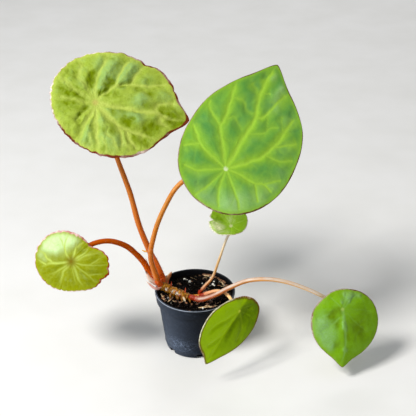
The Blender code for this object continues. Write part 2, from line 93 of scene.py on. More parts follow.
def lattice_value(corner: Array, seed: int) -> Array:
    """A repeatable number at each whole-number lattice corner.

    Formula: the three indices and the seed are each multiplied by a large odd number and
    mixed by exclusive-or and shifts, and the lowest 24 bits are read as a fraction.

    Args:
        corner: Whole numbers, shape (n, 3).
        seed: Picks one of many such fields.

    Returns:
        Values from 0 to 1, shape (n,).
    """
    key = corner[:, 0] * 73856093 ^ corner[:, 1] * 19349663 ^ corner[:, 2] * 83492791
    key = (key ^ (seed * 40503 + 977)) & 0xFFFFFFFF
    key = ((key ^ (key >> 15)) * 1274126177) & 0xFFFFFFFF
    key = ((key ^ (key >> 13)) * 668265263) & 0xFFFFFFFF
    return ((key ^ (key >> 16)) & 0xFFFFFF) / 0xFFFFFF


def smooth_noise(points: Array, size: float, seed: int = 0, octaves: int = 2) -> Array:
    """Soft lumps: lattice values blended smoothly, with finer and fainter ones added.

    Formula: value = sum over octaves of half-weight lattice noise, where each cell's eight
    corners are weighted by t squared times (3 minus 2 t) along each axis.

    Args:
        points: Positions in millimetres, shape (..., 3).
        size: Width of the coarsest lumps in millimetres.
        seed: Picks the pattern.
        octaves: How many finer layers to add.

    Returns:
        Values from -1 to 1 with the leading shape of points.
    """
    place = points.reshape(-1, 3) / size + 512.0
    total = np.zeros(len(place))
    weight, reach = 1.0, 0.0
    for octave in range(octaves):
        base = np.floor(place).astype(np.int64)
        part = place - base
        part = part * part * (3 - 2 * part)
        layer = np.zeros(len(place))
        for corner in itertools.product((0, 1), repeat=3):
            share = np.prod(np.where(np.array(corner), part, 1 - part), axis=1)
            layer += share * lattice_value(base + np.array(corner), seed + octave)
        total += weight * (2 * layer - 1)
        reach += weight
        weight *= 0.5
        place = place * 2 + 31.7
    return (total / reach).reshape(points.shape[:-1])


def unit(vectors: Array) -> Array:
    """Vectors divided by their own lengths, along the last axis."""
    return vectors / np.maximum(np.linalg.norm(vectors, axis=-1, keepdims=True), 1e-9)


def turns(count: int) -> Array:
    """Angles spread evenly over a whole turn, in radians."""
    return np.linspace(0, 2 * np.pi, count, endpoint=False)


def circle(turn: Array) -> Array:
    """Level points on the unit circle at those angles."""
    return np.stack([np.cos(turn), np.sin(turn), 0 * turn], -1)


def between(before: Array, start: Array, end: Array, after: Array, t: Array) -> Array:
    """A Catmull-Rom curve between two of four knots in a row.

    Formula: start + t/2 (end - before + t (2 before - 5 start + 4 end - after
    + t (3 (start - end) + after - before))).

    Args:
        before, start, end, after: The four knots.
        t: Shares of the way from start to end.

    Returns:
        The places there.
    """
    cubic = 3 * (start - end) + after - before
    square = 2 * before - 5 * start + 4 * end - after
    return start + 0.5 * t * (end - before + t * (square + t * cubic))


def smooth_route(knots: Array, per_span: int) -> Array:
    """Points on a Catmull-Rom curve through the knots.

    Args:
        knots: Points to pass through, shape (n, k).
        per_span: Steps between two knots.

    Returns:
        The curve's points, shape ((n - 1) * per_span + 1, k).
    """
    knots = np.asarray(knots, dtype=float)
    knots = np.vstack([2 * knots[0] - knots[1], knots, 2 * knots[-1] - knots[-2]])
    fours = (part[:, None] for part in (knots[:-3], knots[1:-2], knots[2:-1], knots[3:]))
    curve = between(*fours, (np.arange(per_span) / per_span)[None, :, None])
    return np.vstack([curve.reshape(-1, knots.shape[1]), knots[-2]])


def near_route(points: Array, route: Array) -> tuple[Array, Array]:
    """Distance from each point to a run of straight pieces, and how far along it lies.

    Args:
        points: Shape (n, k).
        route: The run's corners, shape (m, k).

    Returns:
        Distances, shape (n,), and shares of the run from 0 to 1, shape (n,).
    """
    start, step = route[:-1], np.diff(route, axis=0)
    from_start = points[:, None] - start
    length = np.maximum((step ** 2).sum(axis=1), 1e-9)
    t = np.clip((from_start * step).sum(axis=2) / length, 0, 1)
    gap = np.linalg.norm(from_start - t[..., None] * step, axis=2)
    best = gap.argmin(axis=1)
    row = np.arange(len(points))
    return gap[row, best], (best + t[row, best]) / len(step)


# Closed surfaces

def placed(name: str, data: bpy.types.ID) -> bpy.types.Object:
    """A new object that holds the data, linked to the scene."""
    thing = bpy.data.objects.new(name, data)
    bpy.context.scene.collection.objects.link(thing)
    return thing


@dataclass
class Shell:
    """A closed surface before it becomes a mesh.

    Attributes:
        points: Vertex positions in millimetres, shape (n, 3).
        faces: Arrays of vertex numbers, each of shape (m, corners).
        values: Named numbers at the vertices, shape (n,) or (n, 3).
    """
    points: Array
    faces: list[Array]
    values: dict[str, Array] = field(default_factory=dict)

    def volume(self) -> float:
        """Signed volume: a sixth of the sum of each triangle's a . (b x c)."""
        total = 0.0
        for faces in self.faces:
            for corner in range(1, faces.shape[1] - 1):
                a, b, c = (self.points[faces[:, k]] for k in (0, corner, corner + 1))
                total += (a * np.cross(b, c)).sum() / 6
        return total

    def outward(self) -> "Shell":
        """This shell with its faces turned to point outwards."""
        if self.volume() < 0:
            self.faces = [faces[:, ::-1] for faces in self.faces]
        return self

    @staticmethod
    def joined(shells: list["Shell"]) -> "Shell":
        """Several shells as one.

        Args:
            shells: Shells that carry the same named values.

        Returns:
            One shell that holds them all, its vertices in the same order.
        """
        starts = np.cumsum([0] + [len(shell.points) for shell in shells])
        faces = [part + start for shell, start in zip(shells, starts) for part in shell.faces]
        values = {name: np.concatenate([shell.values[name] for shell in shells])
                  for name in shells[0].values}
        return Shell(np.vstack([shell.points for shell in shells]), faces, values)

    def build(self, name: str, material: bpy.types.Material, slot: str,
              stands_for: Optional[str] = None, smooth: bool = True) -> bpy.types.Object:
        """Make the mesh object, dress it and tie it to the frame.

        Args:
            name: The piece's name.
            material: Its finish.
            slot: The material slot's name; not used.
            stands_for: The CAD node that it replaces, if any.
            smooth: Whether its faces are shaded smooth.

        Returns:
            The finished object, at the origin.
        """
        mesh = bpy.data.meshes.new(name)
        polygons = [face for part in self.faces for face in part.tolist()]
        mesh.from_pydata(np.round(self.points * MM, 7).tolist(), [], polygons)
        for key, value in self.values.items():
            kind, part = ("FLOAT", "value") if value.ndim == 1 else ("FLOAT_VECTOR", "vector")
            layer = mesh.attributes.new(key, kind, "POINT")
            layer.data.foreach_set(part, value.astype(np.float32).ravel())
        mesh.polygons.foreach_set("use_smooth", np.full(len(polygons), smooth))
        mesh.materials.append(material)
        mesh.update()
        piece = placed(name, mesh)
        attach(piece, BODY)
        if stands_for:
            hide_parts(stands_for)
        LOG.info("%s: %d triangles", name, sum(len(face) - 2 for face in polygons))
        return piece


def closed_grid(points: Array, values: Optional[dict[str, Array]] = None) -> Shell:
    """A tube-like grid, joined round its columns and closed to a pole at either end.

    Args:
        points: Grid of positions, shape (rows, columns, 3).
        values: Named grids of numbers, shape (rows, columns) or (rows, columns, 3).

    Returns:
        The closed shell, faces outwards. Each pole is the mean of its end row.
    """
    rows, columns = points.shape[:2]
    index = np.arange(rows * columns).reshape(rows, columns)
    near, far = index[:-1], index[1:]
    quads = np.stack([near, np.roll(near, -1, 1), np.roll(far, -1, 1), far], -1).reshape(-1, 4)
    first, last = index[0], index[-1]
    bottom, top = np.full(columns, rows * columns), np.full(columns, rows * columns + 1)
    caps = np.vstack([np.stack([bottom, np.roll(first, -1), first], -1),
                      np.stack([top, last, np.roll(last, -1)], -1)])

    def with_poles(grid: Array) -> Array:
        """The grid as a list of vertices, with the two poles added."""
        flat = grid.reshape(rows * columns, *grid.shape[2:])
        return np.concatenate([flat, [grid[0].mean(axis=0)], [grid[-1].mean(axis=0)]])

    carried = {name: with_poles(grid) for name, grid in (values or {}).items()}
    return Shell(with_poles(points), [quads, caps], carried).outward()


def tube(route: Array, radii: Array, sides: int, reference: Spot,
         rough: float = 0.0, grain: float = 8.0, seed: int = 0) -> tuple[Array, Array]:
    """Grid of a rod: at each station a ring of the given radius square to the route.

    Formula: ring point = station + radius * (cos u * side + sin u * up), where side is the
    route's direction crossed with the reference, and up is side crossed with it again.

    Args:
        route: Stations, shape (n, 3).
        radii: Radius at each station, shape (n,) or (n, sides).
        sides: Points round the rod.
        reference: A direction that the route never follows.
        rough: Height of the lumps on its skin.
        grain: Width of those lumps.
        seed: Picks the lumps.

    Returns:
        The grid of positions, shape (n, sides, 3), and of outward directions.
    """
    forward = unit(np.gradient(route, axis=0))
    side = unit(np.cross(forward, np.array(reference, dtype=float)))
    up = np.cross(side, forward)
    turn = turns(sides)
    ring = np.cos(turn)[None, :, None] * side[:, None] + np.sin(turn)[None, :, None] * up[:, None]
    radii = radii[:, None] if radii.ndim == 1 else radii
    points = route[:, None] + radii[..., None] * ring
    if rough:
        points = points + (rough * smooth_noise(points, grain, seed, 3))[..., None] * ring
    return points, ring


def spread(template: Shell, axes: Array, spots: Array,
           values: Optional[dict[str, Array]] = None) -> Shell:
    """Many copies of a small shell, each stretched and turned by its own axes.

    Formula: copy's vertex = spot + x * first axis + y * second axis + z * third axis.

    Args:
        template: The small shell.
        axes: Three axes for each copy, shape (n, 3, 3).
        spots: Where each copy goes, shape (n, 3).
        values: Named numbers for each copy, shape (n,).

    Returns:
        All the copies as one shell.
    """
    count, size = len(spots), len(template.points)
    points = np.einsum("vk,nkj->nvj", template.points, axes) + spots[:, None]
    shift = (np.arange(count) * size)[:, None, None]
    faces = [(part[None] + shift).reshape(-1, part.shape[1]) for part in template.faces]
    carried = {name: np.repeat(value, size) for name, value in (values or {}).items()}
    return Shell(points.reshape(-1, 3), faces, carried)


def random_turns(draw: np.random.Generator, count: int) -> Array:
    """Evenly spread turns: rotation matrices of random unit quaternions.

    Args:
        draw: Source of random numbers.
        count: How many turns.

    Returns:
        Matrices whose rows are the turned axes, shape (count, 3, 3).
    """
    w, x, y, z = unit(draw.normal(size=(count, 4))).T
    return np.stack([
        np.stack([1 - 2 * (y * y + z * z), 2 * (x * y + w * z), 2 * (x * z - w * y)], -1),
        np.stack([2 * (x * y - w * z), 1 - 2 * (x * x + z * z), 2 * (y * z + w * x)], -1),
        np.stack([2 * (x * z + w * y), 2 * (y * z - w * x), 1 - 2 * (x * x + y * y)], -1)], 1)


def hairs(roots: Array, ways: Array, lengths: Array, width: float) -> Shell:
    """Fine three-sided cones that stand on a surface.

    Args:
        roots: Where each hair starts, shape (n, 3).
        ways: Which way it points, shape (n, 3).
        lengths: Its length, shape (n,).
        width: Its half-width at the root.

    Returns:
        All the hairs as one shell.
    """
    cone = Shell(np.vstack([circle(np.radians([0, 120, 240])), UP]),
                 [np.array([[0, 2, 1], [0, 1, 3], [1, 2, 3], [2, 0, 3]])])
    forward = unit(ways)
    aside = unit(np.cross(forward, np.array([0.31, 0.87, 0.38])))
    axes = np.stack([width * aside, width * np.cross(forward, aside),
                     lengths[:, None] * forward], 1)
    return spread(cone, axes, roots)


def lump(level: int) -> Shell:
    """A ball of triangles for crumbs: an icosahedron, its faces split level times.

    Args:
        level: How often each triangle is split into four.

    Returns:
        The closed ball of radius 1.
    """
    golden = (1 + math.sqrt(5)) / 2
    pairs = [(-1, golden), (1, golden), (-1, -golden), (1, -golden)]
    points = np.array([(a, b, 0) for a, b in pairs] + [(0, a, b) for a, b in pairs]
                      + [(b, 0, a) for a, b in pairs])
    faces = np.array([
        (0, 11, 5), (0, 5, 1), (0, 1, 7), (0, 7, 10), (0, 10, 11), (1, 5, 9), (5, 11, 4),
        (11, 10, 2), (10, 7, 6), (7, 1, 8), (3, 9, 4), (3, 4, 2), (3, 2, 6), (3, 6, 8),
        (3, 8, 9), (4, 9, 5), (2, 4, 11), (6, 2, 10), (8, 6, 7), (9, 8, 1)])
    for _ in range(level):
        edges = np.sort(faces[:, [0, 1, 1, 2, 2, 0]].reshape(-1, 2), axis=1)
        pairs_used, where = np.unique(edges, axis=0, return_inverse=True)
        middle = where.reshape(-1, 3) + len(points)
        points = np.vstack([points, points[pairs_used].mean(axis=1)])
        a, b, c = faces.T
        ab, bc, ca = middle.T
        faces = np.vstack([np.stack(corners, -1) for corners in
                           ((a, ab, ca), (b, bc, ab), (c, ca, bc), (ab, bc, ca))])
    return Shell(unit(points), [faces]).outward()


# Finishes

class Graph:
    """A material's node tree, written one node at a time, with its colour so far."""

    def __init__(self, name: str, colour: Optional[Colour] = None) -> None:
        """Start a Principled material.

        Args:
            name: The material's name.
            colour: Its lowest colour.
        """
        self.material = bpy.data.materials.new(name)
        self.material.use_nodes = True
        self.tree = self.material.node_tree
        self.place = self.tree.nodes.new("ShaderNodeTexCoord").outputs["Object"]
        self.colour: Optional[Socket] = colour

    def feed(self, socket: Output, value: Socket) -> None:
        """Link or set a socket.

        Args:
            socket: The input to fill.
            value: A number, a colour or another node's output.
        """
        if isinstance(value, Output):
            self.tree.links.new(value, socket)
        elif isinstance(value, tuple):
            socket.default_value = (*value, 1.0) if socket.type == "RGBA" else value
        else:
            socket.default_value = value

    def node(self, kind: str, output: Union[int, str], inputs: dict[Union[int, str], Socket],
             **settings: str) -> Output:
        """Add a node.

        Args:
            kind: Blender's name for it, less ShaderNode.
            output: Which output to hand over.
            inputs: What its inputs are fed.
            settings: Its own settings.

        Returns:
            The output.
        """
        node = self.tree.nodes.new("ShaderNode" + kind)
        for key, setting in settings.items():
            setattr(node, key, setting)
        for key, value in inputs.items():
            self.feed(node.inputs[key], value)
        return node.outputs[output]

    def value(self, name: str, output: str = "Fac") -> Output:
        """A named value of the piece's own vertices: a number, or with Vector a vector."""
        return self.node("Attribute", output, {}, attribute_name=name)

    def math(self, operation: str, first: Socket, second: Socket) -> Output:
        """One sum on two numbers; the operation is Blender's own word for it."""
        return self.node("Math", 0, {0: first, 1: second}, operation=operation)

    def span(self, value: Socket, low: float, high: float, start: float = 0.0,
             end: float = 1.0) -> Output:
        """Stretch the range from low to high to the one from start to end, and hold it there."""
        return self.node("MapRange", 0, dict(enumerate((value, low, high, start, end))))

    def noise(self, size: float, detail: float = 3.0, vector: Optional[Output] = None,
              rough: float = 0.55) -> Output:
        """Blender's noise from 0 to 1, in lumps of that many millimetres on the piece."""
        place, scale = (self.place, 1 / (size * MM)) if vector is None else (vector, 1 / size)
        return self.node("TexNoise", 0, {"Vector": place, "Scale": scale, "Detail": detail,
                                         "Roughness": rough})

    def cells(self, size: float) -> Output:
        """Distance to the nearest wall of a net of cells of that size in millimetres."""
        return self.node("TexVoronoi", "Distance", {"Vector": self.place, "Scale": 1 / (size * MM)},
                         feature="DISTANCE_TO_EDGE")

    def mix(self, share: Socket, first: Socket, second: Socket) -> Output:
        """The two colours blended: all of the first at share 0, of the second at 1."""
        return self.node("Mix", 2, {0: share, 6: first, 7: second}, data_type="RGBA")

    def coat(self, over: Socket, share: Socket, low: float = 0.0, high: float = 1.0,
             most: float = 1.0) -> None:
        """Lay a colour over what is there.

        Args:
            over: The colour.
            share: How much of it, as a number that counts from low to high.
            low: Where the coat starts.
            high: Where it is at its fullest.
            most: How full that is, 0 to 1.
        """
        if (low, high, most) != (0.0, 1.0, 1.0):
            share = self.span(share, low, high, 0.0, most)
        self.colour = self.mix(share, self.colour, over)

    def ramp(self, value: Socket, stops: tuple[tuple[float, Colour], ...]) -> Output:
        """A colour picked along a scale.

        Args:
            value: Place on the scale, 0 to 1.
            stops: Places and their colours, in order.

        Returns:
            The colour there.
        """
        node = self.tree.nodes.new("ShaderNodeValToRGB")
        self.feed(node.inputs[0], value)
        elements = node.color_ramp.elements
        while len(elements) < len(stops):
            elements.new(0.5)
        for element, (place, colour) in zip(elements, stops):
            element.position = place
            element.color = (*colour, 1.0)
        return node.outputs[0]

    def bump(self, height: Output, rise: float) -> Output:
        """The normal bent by a height from 0 to 1, where 1 stands for rise in millimetres."""
        return self.node("Bump", 0, {"Strength": 1.0, "Distance": rise * MM, "Height": height})

    def finish(self, rough: Socket, normal: Optional[Output] = None,
               gloss: float = 0.4) -> bpy.types.Material:
        """Feed the shader and hand the material over.

        Args:
            rough: The roughness.
            normal: The bent normal, if any.
            gloss: How strongly it mirrors light; 0.5 is plain plastic.

        Returns:
            The material.
        """
        inputs = self.tree.nodes["Principled BSDF"].inputs
        self.feed(inputs["Base Color"], self.colour)
        self.feed(inputs["Roughness"], rough)
        if normal is not None:
            self.feed(inputs["Normal"], normal)
        inputs["Specular IOR Level"].default_value = gloss
        return self.material


class LeafFinish(Enum):
    """The five leaf slots."""
    PALE = "leaf_pale"
    DARK = "leaf_dark"
    LIME = "leaf_lime"
    BRIGHT = "leaf_bright"
    GREEN = "leaf_green"


@dataclass(frozen=True)
class LeafSkin:
    """A blade's finish.

    Attributes:
        panel: Colour of the blade between its ribs.
        hollow: Colour of the painted shade in the hollows and on the shaded half.
        painted_sheen: Colour of the painted sheen on the raised panels.
        rib: Colour of the ribs.
        zone: Colour of the band inside the margin.
        rim: Colour of the margin's dark stretches.
        pale_rim: Colour of its light stretches.
        under: Colour of the underside.
        heart: Colour where the stalk joins.
        rough: Roughness of the upper face.
        gloss: How strongly it mirrors light.
        mottle: How far panels and hollows mix at random.
        pebble: Height of the fine pebbling in millimetres.
        halo: How far the colour of the margin's band spreads along the ribs.
        net: How strongly the net of the smallest veins shows.
        cell: Width of that net's cells in millimetres.
        clear: How clearly the ribs' own colour shows.
        warm: How strongly the heart shows.
        liner: Colour of the thin line inside the rim.
        eye: Colour of the dot right over the joint.
        grain: How far fine specks break up the painted sheen.
    """
    panel: Colour
    hollow: Colour
    painted_sheen: Colour
    rib: Colour
    zone: Colour
    rim: Colour = rgb(120, 50, 30)
    pale_rim: Colour = rgb(225, 205, 195)
    under: Colour = rgb(150, 165, 85)
    heart: Colour = rgb(225, 205, 150)
    rough: float = 0.42
    gloss: float = 0.16
    mottle: float = 0.5
    pebble: float = 0.12
    halo: float = 0.25
    net: float = 0.15
    cell: float = 2.4
    clear: float = 0.8
    warm: float = 0.6
    liner: Colour = rgb(104, 72, 12)
    eye: Colour = rgb(165, 75, 35)
    grain: float = 0.45

    def material(self, name: str) -> bpy.types.Material:
        """Layers, from the bottom: panels, the tint beside the ribs, the fine net of the
        smallest veins, painted sheen, painted shade in the hollows, ribs, the margin's band, its rim,
        the heart.

        Args:
            name: The material's name.

        Returns:
            The leaf's material.
        """
        graph = Graph(name, self.panel)
        fine, wall = graph.noise(1.1, 4), graph.cells(self.cell)
        rib, heart = graph.value("rib"), graph.value("heart")
        uneven = graph.math("SUBTRACT", graph.noise(3.2, 4), 0.5)
        # Painted shade in the hollows and on the shaded half, broken up by random mottling.
        deep = graph.math("ADD", graph.value("hollow"),
                          graph.math("MULTIPLY", uneven, 2 * self.mottle))
        # Painted sheen on the raised panels, broken up by fine specks.
        painted_sheen_mask = graph.math("MULTIPLY", graph.value("painted_sheen"),
                            graph.span(fine, 0.35, 0.62, 1 - self.grain, 1.0))
        rim = graph.mix(graph.value("red"), self.pale_rim, self.rim)
        rim = graph.mix(graph.span(graph.noise(1.6, 3), 0.48, 0.62, 0.0, 0.45), rim, self.rim)
        below = graph.mix(graph.span(rib, 0.1, 0.8), self.under, rgb(190, 110, 70))
        graph.coat(self.zone, graph.value("halo"), most=self.halo)
        graph.coat(self.rib, wall, 0.16, 0.0, self.net)
        graph.coat(self.painted_sheen, painted_sheen_mask)
        graph.coat(self.zone, graph.value("zone"))
        # Lay the painted shade of the hollows.
        graph.coat(self.hollow, deep, 0.06)
        graph.coat(self.rib, rib, 0.02, 0.9, self.clear)
        graph.coat(self.hollow, graph.noise(0.9, 2), 0.58, 0.72, 0.25)
        graph.coat(rim, graph.value("rim"))
        graph.coat(self.liner, graph.value("liner"))
        graph.coat(self.heart, heart, 0.25, 0.95, self.warm)
        graph.coat(self.eye, heart, 0.955, 0.985)
        graph.coat(below, graph.value("under"))
        pebbles = graph.math("ADD", graph.math("MULTIPLY", fine, 0.7),
                             graph.span(wall, 0.0, 0.35, 0.0, 0.5))
        rough = graph.span(fine, 0.3, 0.7, self.rough - 0.06, self.rough + 0.1)
        return graph.finish(rough, graph.bump(pebbles, self.pebble), self.gloss)


# In each skin the colour of the raised panels is painted sheen and the hollow colour is painted shade.
LEAF_SKINS: dict[str, LeafSkin] = {
    "upper_left": LeafSkin(
        panel=rgb(140, 161, 52), hollow=rgb(104, 124, 0), painted_sheen=rgb(134, 165, 92),
        rib=rgb(176, 190, 92), zone=rgb(168, 182, 74), rim=rgb(104, 40, 20), mottle=0.3,
        heart=rgb(176, 154, 84), pebble=0.16, halo=0.5, net=0.12, cell=2.0, clear=0.5,
        gloss=0.05, eye=rgb(186, 116, 60)),
    "upper_right": LeafSkin(
        panel=rgb(82, 143, 61), hollow=rgb(76, 134, 70), painted_sheen=rgb(144, 184, 112),
        rib=rgb(158, 201, 64), zone=rgb(138, 182, 44), rim=rgb(84, 46, 20), mottle=0.12,
        pale_rim=rgb(164, 140, 118), heart=rgb(232, 238, 206), rough=0.4, pebble=0.05, grain=0.25,
        halo=0.95, net=0.05, cell=4.0, clear=0.7, gloss=0.1, warm=0.9, eye=rgb(120, 76, 40)),
    "left": LeafSkin(
        panel=rgb(123, 130, 0), hollow=rgb(98, 110, 0), painted_sheen=rgb(190, 218, 154),
        rib=rgb(192, 212, 106), zone=rgb(140, 148, 4), rim=rgb(150, 52, 10), mottle=0.2,
        pale_rim=rgb(222, 190, 184), heart=rgb(108, 98, 10), clear=0.58, gloss=0.03, grain=0.1,
        net=0.05, warm=0.95, halo=0.4, pebble=0.02, eye=rgb(112, 92, 12)),
    "young": LeafSkin(
        panel=rgb(122, 162, 20), hollow=rgb(90, 128, 4), painted_sheen=rgb(216, 220, 176),
        rib=rgb(146, 180, 60), zone=rgb(132, 168, 30), rim=rgb(120, 72, 14), mottle=0.3,
        pale_rim=rgb(232, 236, 206), heart=rgb(214, 210, 170), pebble=0.06, net=0.06,
        clear=0.5, gloss=0.08, warm=0.6, eye=rgb(214, 204, 170)),
    "front": LeafSkin(
        panel=rgb(158, 198, 0), hollow=rgb(96, 126, 0), painted_sheen=rgb(170, 198, 124),
        rib=rgb(172, 206, 20), zone=rgb(160, 194, 4), rim=rgb(120, 72, 14), mottle=0.08,
        pale_rim=rgb(222, 222, 190), heart=rgb(222, 226, 80), pebble=0.04, net=0.04,
        clear=0.75, gloss=0.04, warm=0.8, halo=0.2, eye=rgb(206, 200, 60)),
    "right": LeafSkin(
        panel=rgb(112, 160, 6), hollow=rgb(92, 124, 0), painted_sheen=rgb(124, 166, 96),
        rib=rgb(138, 186, 110), zone=rgb(116, 156, 20), rim=rgb(96, 48, 22), mottle=0.25,
        pale_rim=rgb(170, 158, 132), heart=rgb(180, 200, 100), rough=0.36, pebble=0.06,
        gloss=0.08, net=0.04, clear=0.6, warm=0.6, eye=rgb(190, 196, 90)),
}


@dataclass(frozen=True)
class StalkSkin:
    """A stalk's finish.

    Attributes:
        foot: Colour at its foot.
        middle: Colour half way up.
        top: Colour under the blade.
        light: Colour of its pale streaks and of its painted highlight.
        streaks: How strong the streaks are.
        gloss: How strongly it mirrors light.
    """
    foot: Colour
    middle: Colour
    top: Colour
    light: Colour = rgb(240, 200, 170)
    streaks: float = 0.5
    gloss: float = 0.14

    def material(self, name: str) -> bpy.types.Material:
        """Three colours along the stalk, with long streaks, freckles and a painted highlight along one
        side.

        Args:
            name: The material's name.

        Returns:
            The stalk's material.
        """
        graph = Graph(name)
        grain = graph.value("grain", "Vector")
        graph.colour = graph.ramp(graph.value("along"),
                                  ((0.0, self.foot), (0.45, self.middle), (1.0, self.top)))
        streak = graph.noise(1.0, 3, grain)
        graph.coat(self.light, streak, 0.5, 0.72, self.streaks)
        graph.coat(self.foot, graph.noise(0.8, 3, grain, 0.7), 0.55, 0.75, 0.5)
        # The pale value is a painted highlight along one side.
        graph.coat(self.light, graph.value("pale"))
        return graph.finish(graph.span(streak, 0.3, 0.7, 0.2, 0.36), graph.bump(streak, 0.25),
                            self.gloss)


# Each skin's light colour serves both its streaks and its painted highlight.
STALK_SKINS: dict[str, StalkSkin] = {
    "upper_left": StalkSkin(rgb(216, 90, 2), rgb(184, 90, 0), rgb(206, 98, 0),
                            rgb(240, 204, 120), 0.12),
    "upper_right": StalkSkin(rgb(206, 98, 2), rgb(174, 98, 6), rgb(178, 94, 4),
                             rgb(236, 180, 110), 0.25),
    "left": StalkSkin(rgb(214, 90, 0), rgb(168, 66, 0), rgb(156, 60, 0),
                      rgb(240, 160, 60), 0.04, 0.01),
    "young": StalkSkin(rgb(176, 84, 12), rgb(196, 148, 80), rgb(208, 206, 190),
                       rgb(248, 230, 190), 0.35, 0.3),
    "front": StalkSkin(rgb(216, 128, 84), rgb(250, 196, 124), rgb(255, 226, 160), streaks=0.2),
    "right": StalkSkin(rgb(160, 42, 0), rgb(202, 134, 50), rgb(218, 194, 140),
                       rgb(206, 192, 178), 0.1, 0.25),
}


@dataclass(frozen=True)
class PlasticSkin:
    """The pot's dark plastic: fine moulding grain, dust, scuffs round the body, and painted light:
    sheen on the left, shade inside, a highlight on the rim.

    Attributes:
        base: The plastic's colour.
        dust_and_sheen: Colour of the dust and scuffs on it, and of the painted sheen on its left side.
        rough: Its roughness.
    """
    base: Colour = rgb(5, 9, 18)
    dust_and_sheen: Colour = rgb(124, 138, 162)
    rough: float = 0.42

    def material(self, name: str) -> bpy.types.Material:
        """Dust gathers in soft patches; scuffs are thin and level. Painted light: sheen, inner shade,
        rim highlight.

        Args:
            name: The material's name.

        Returns:
            The pot's material.
        """
        graph = Graph(name, self.base)
        grain, scuff = graph.value("grain", "Vector"), graph.value("scuff")
        smear = graph.span(graph.noise(1.5, 5, rough=0.7), 0.52, 0.66, 0.0, 0.45)
        scratch = graph.span(graph.noise(0.42, 4, grain, 0.7), 0.53, 0.60, 0.02, 0.9)
        # Painted sheen on the left side, in the dust colour.
        graph.coat(self.dust_and_sheen, graph.value("painted_side_sheen"))
        graph.coat(self.dust_and_sheen, graph.noise(7.0, 5), 0.56, 0.80, 0.06)
        graph.coat(self.dust_and_sheen, graph.noise(0.7, 2), 0.68, 0.76, 0.12)
        graph.coat(self.dust_and_sheen, graph.math("MULTIPLY", scuff, smear))
        graph.coat(self.dust_and_sheen, graph.math("MULTIPLY", scuff, scratch))
        # Painted shade over the inside.
        graph.coat(rgb(14, 13, 13), graph.value("painted_inner_shade"))
        # Painted highlight along the rim's outer edge.
        graph.coat(rgb(166, 174, 188), graph.value("edge"))
        rough = graph.span(graph.noise(3.0, 4), 0.3, 0.7, self.rough - 0.08, self.rough + 0.16)
        return graph.finish(rough, graph.bump(graph.noise(0.35, 2), 0.03), 0.08)


@dataclass(frozen=True)
class GrainSkin:
    """A finish for loose or rough stuff: two colours, a third in specks, and a rough skin.

    Attributes:
        dark: Colour in the low parts.
        light: Colour in the high parts.
        speck: Colour of the scattered specks.
        size: Width of its lumps in millimetres.
        rough: Roughness.
        rise: Height of its bumps in millimetres.
        specks: How strongly the specks show.
        rare: Where the specks' noise starts to count; the higher, the fewer.
        gloss: How strongly it mirrors light.
        blush: Colour of tones from 1 to 2, if there are any.
        deep: Colour of tones over 2.
    """
    dark: Colour
    light: Colour
    speck: Colour
    size: float = 1.2
    rough: float = 0.8
    rise: float = 0.3
    specks: float = 0.5
    rare: float = 0.60
    gloss: float = 0.3
    blush: Optional[Colour] = None
    deep: Colour = rgb(150, 52, 32)

    def material(self, name: str) -> bpy.types.Material:
        """Noise mixes dark and light, thresholded fine noise adds the specks.

        Args:
            name: The material's name.

        Returns:
            The finish's material.
        """
        graph = Graph(name, self.dark)
        lumps = graph.noise(self.size, 5)
        tone = graph.math("ADD", graph.value("tone"), graph.span(lumps, 0.3, 0.7, -0.35, 0.35))
        graph.coat(self.light, graph.span(tone, 0.0, 1.0))
        dots = graph.noise(self.size * 0.6, 2)
        graph.coat(self.speck, dots, self.rare, self.rare + 0.08, self.specks)
        if self.blush:
            graph.coat(self.blush, tone, 0.98, 1.1)
            graph.coat(self.deep, tone, 1.9, 2.0)
        rough = graph.span(lumps, 0.3, 0.7, self.rough - 0.15, min(1.0, self.rough + 0.1))
        return graph.finish(rough, graph.bump(lumps, self.rise), self.gloss)


# Leaves

Trace = tuple[tuple[float, float], ...]


@dataclass(frozen=True)
class Rib:
    """A rib of a blade.

    Attributes:
        trace: Points as (degrees from the tip, share of the way to the margin).
        width: Half-width at its start and end in millimetres.
        weight: How strongly it shows, 0 to 1.
        sink: How strongly it presses the blade down, 0 to 1.
    """
    trace: Trace
    width: tuple[float, float] = (0.9, 0.5)
    weight: float = 0.8
    sink: float = 1.0


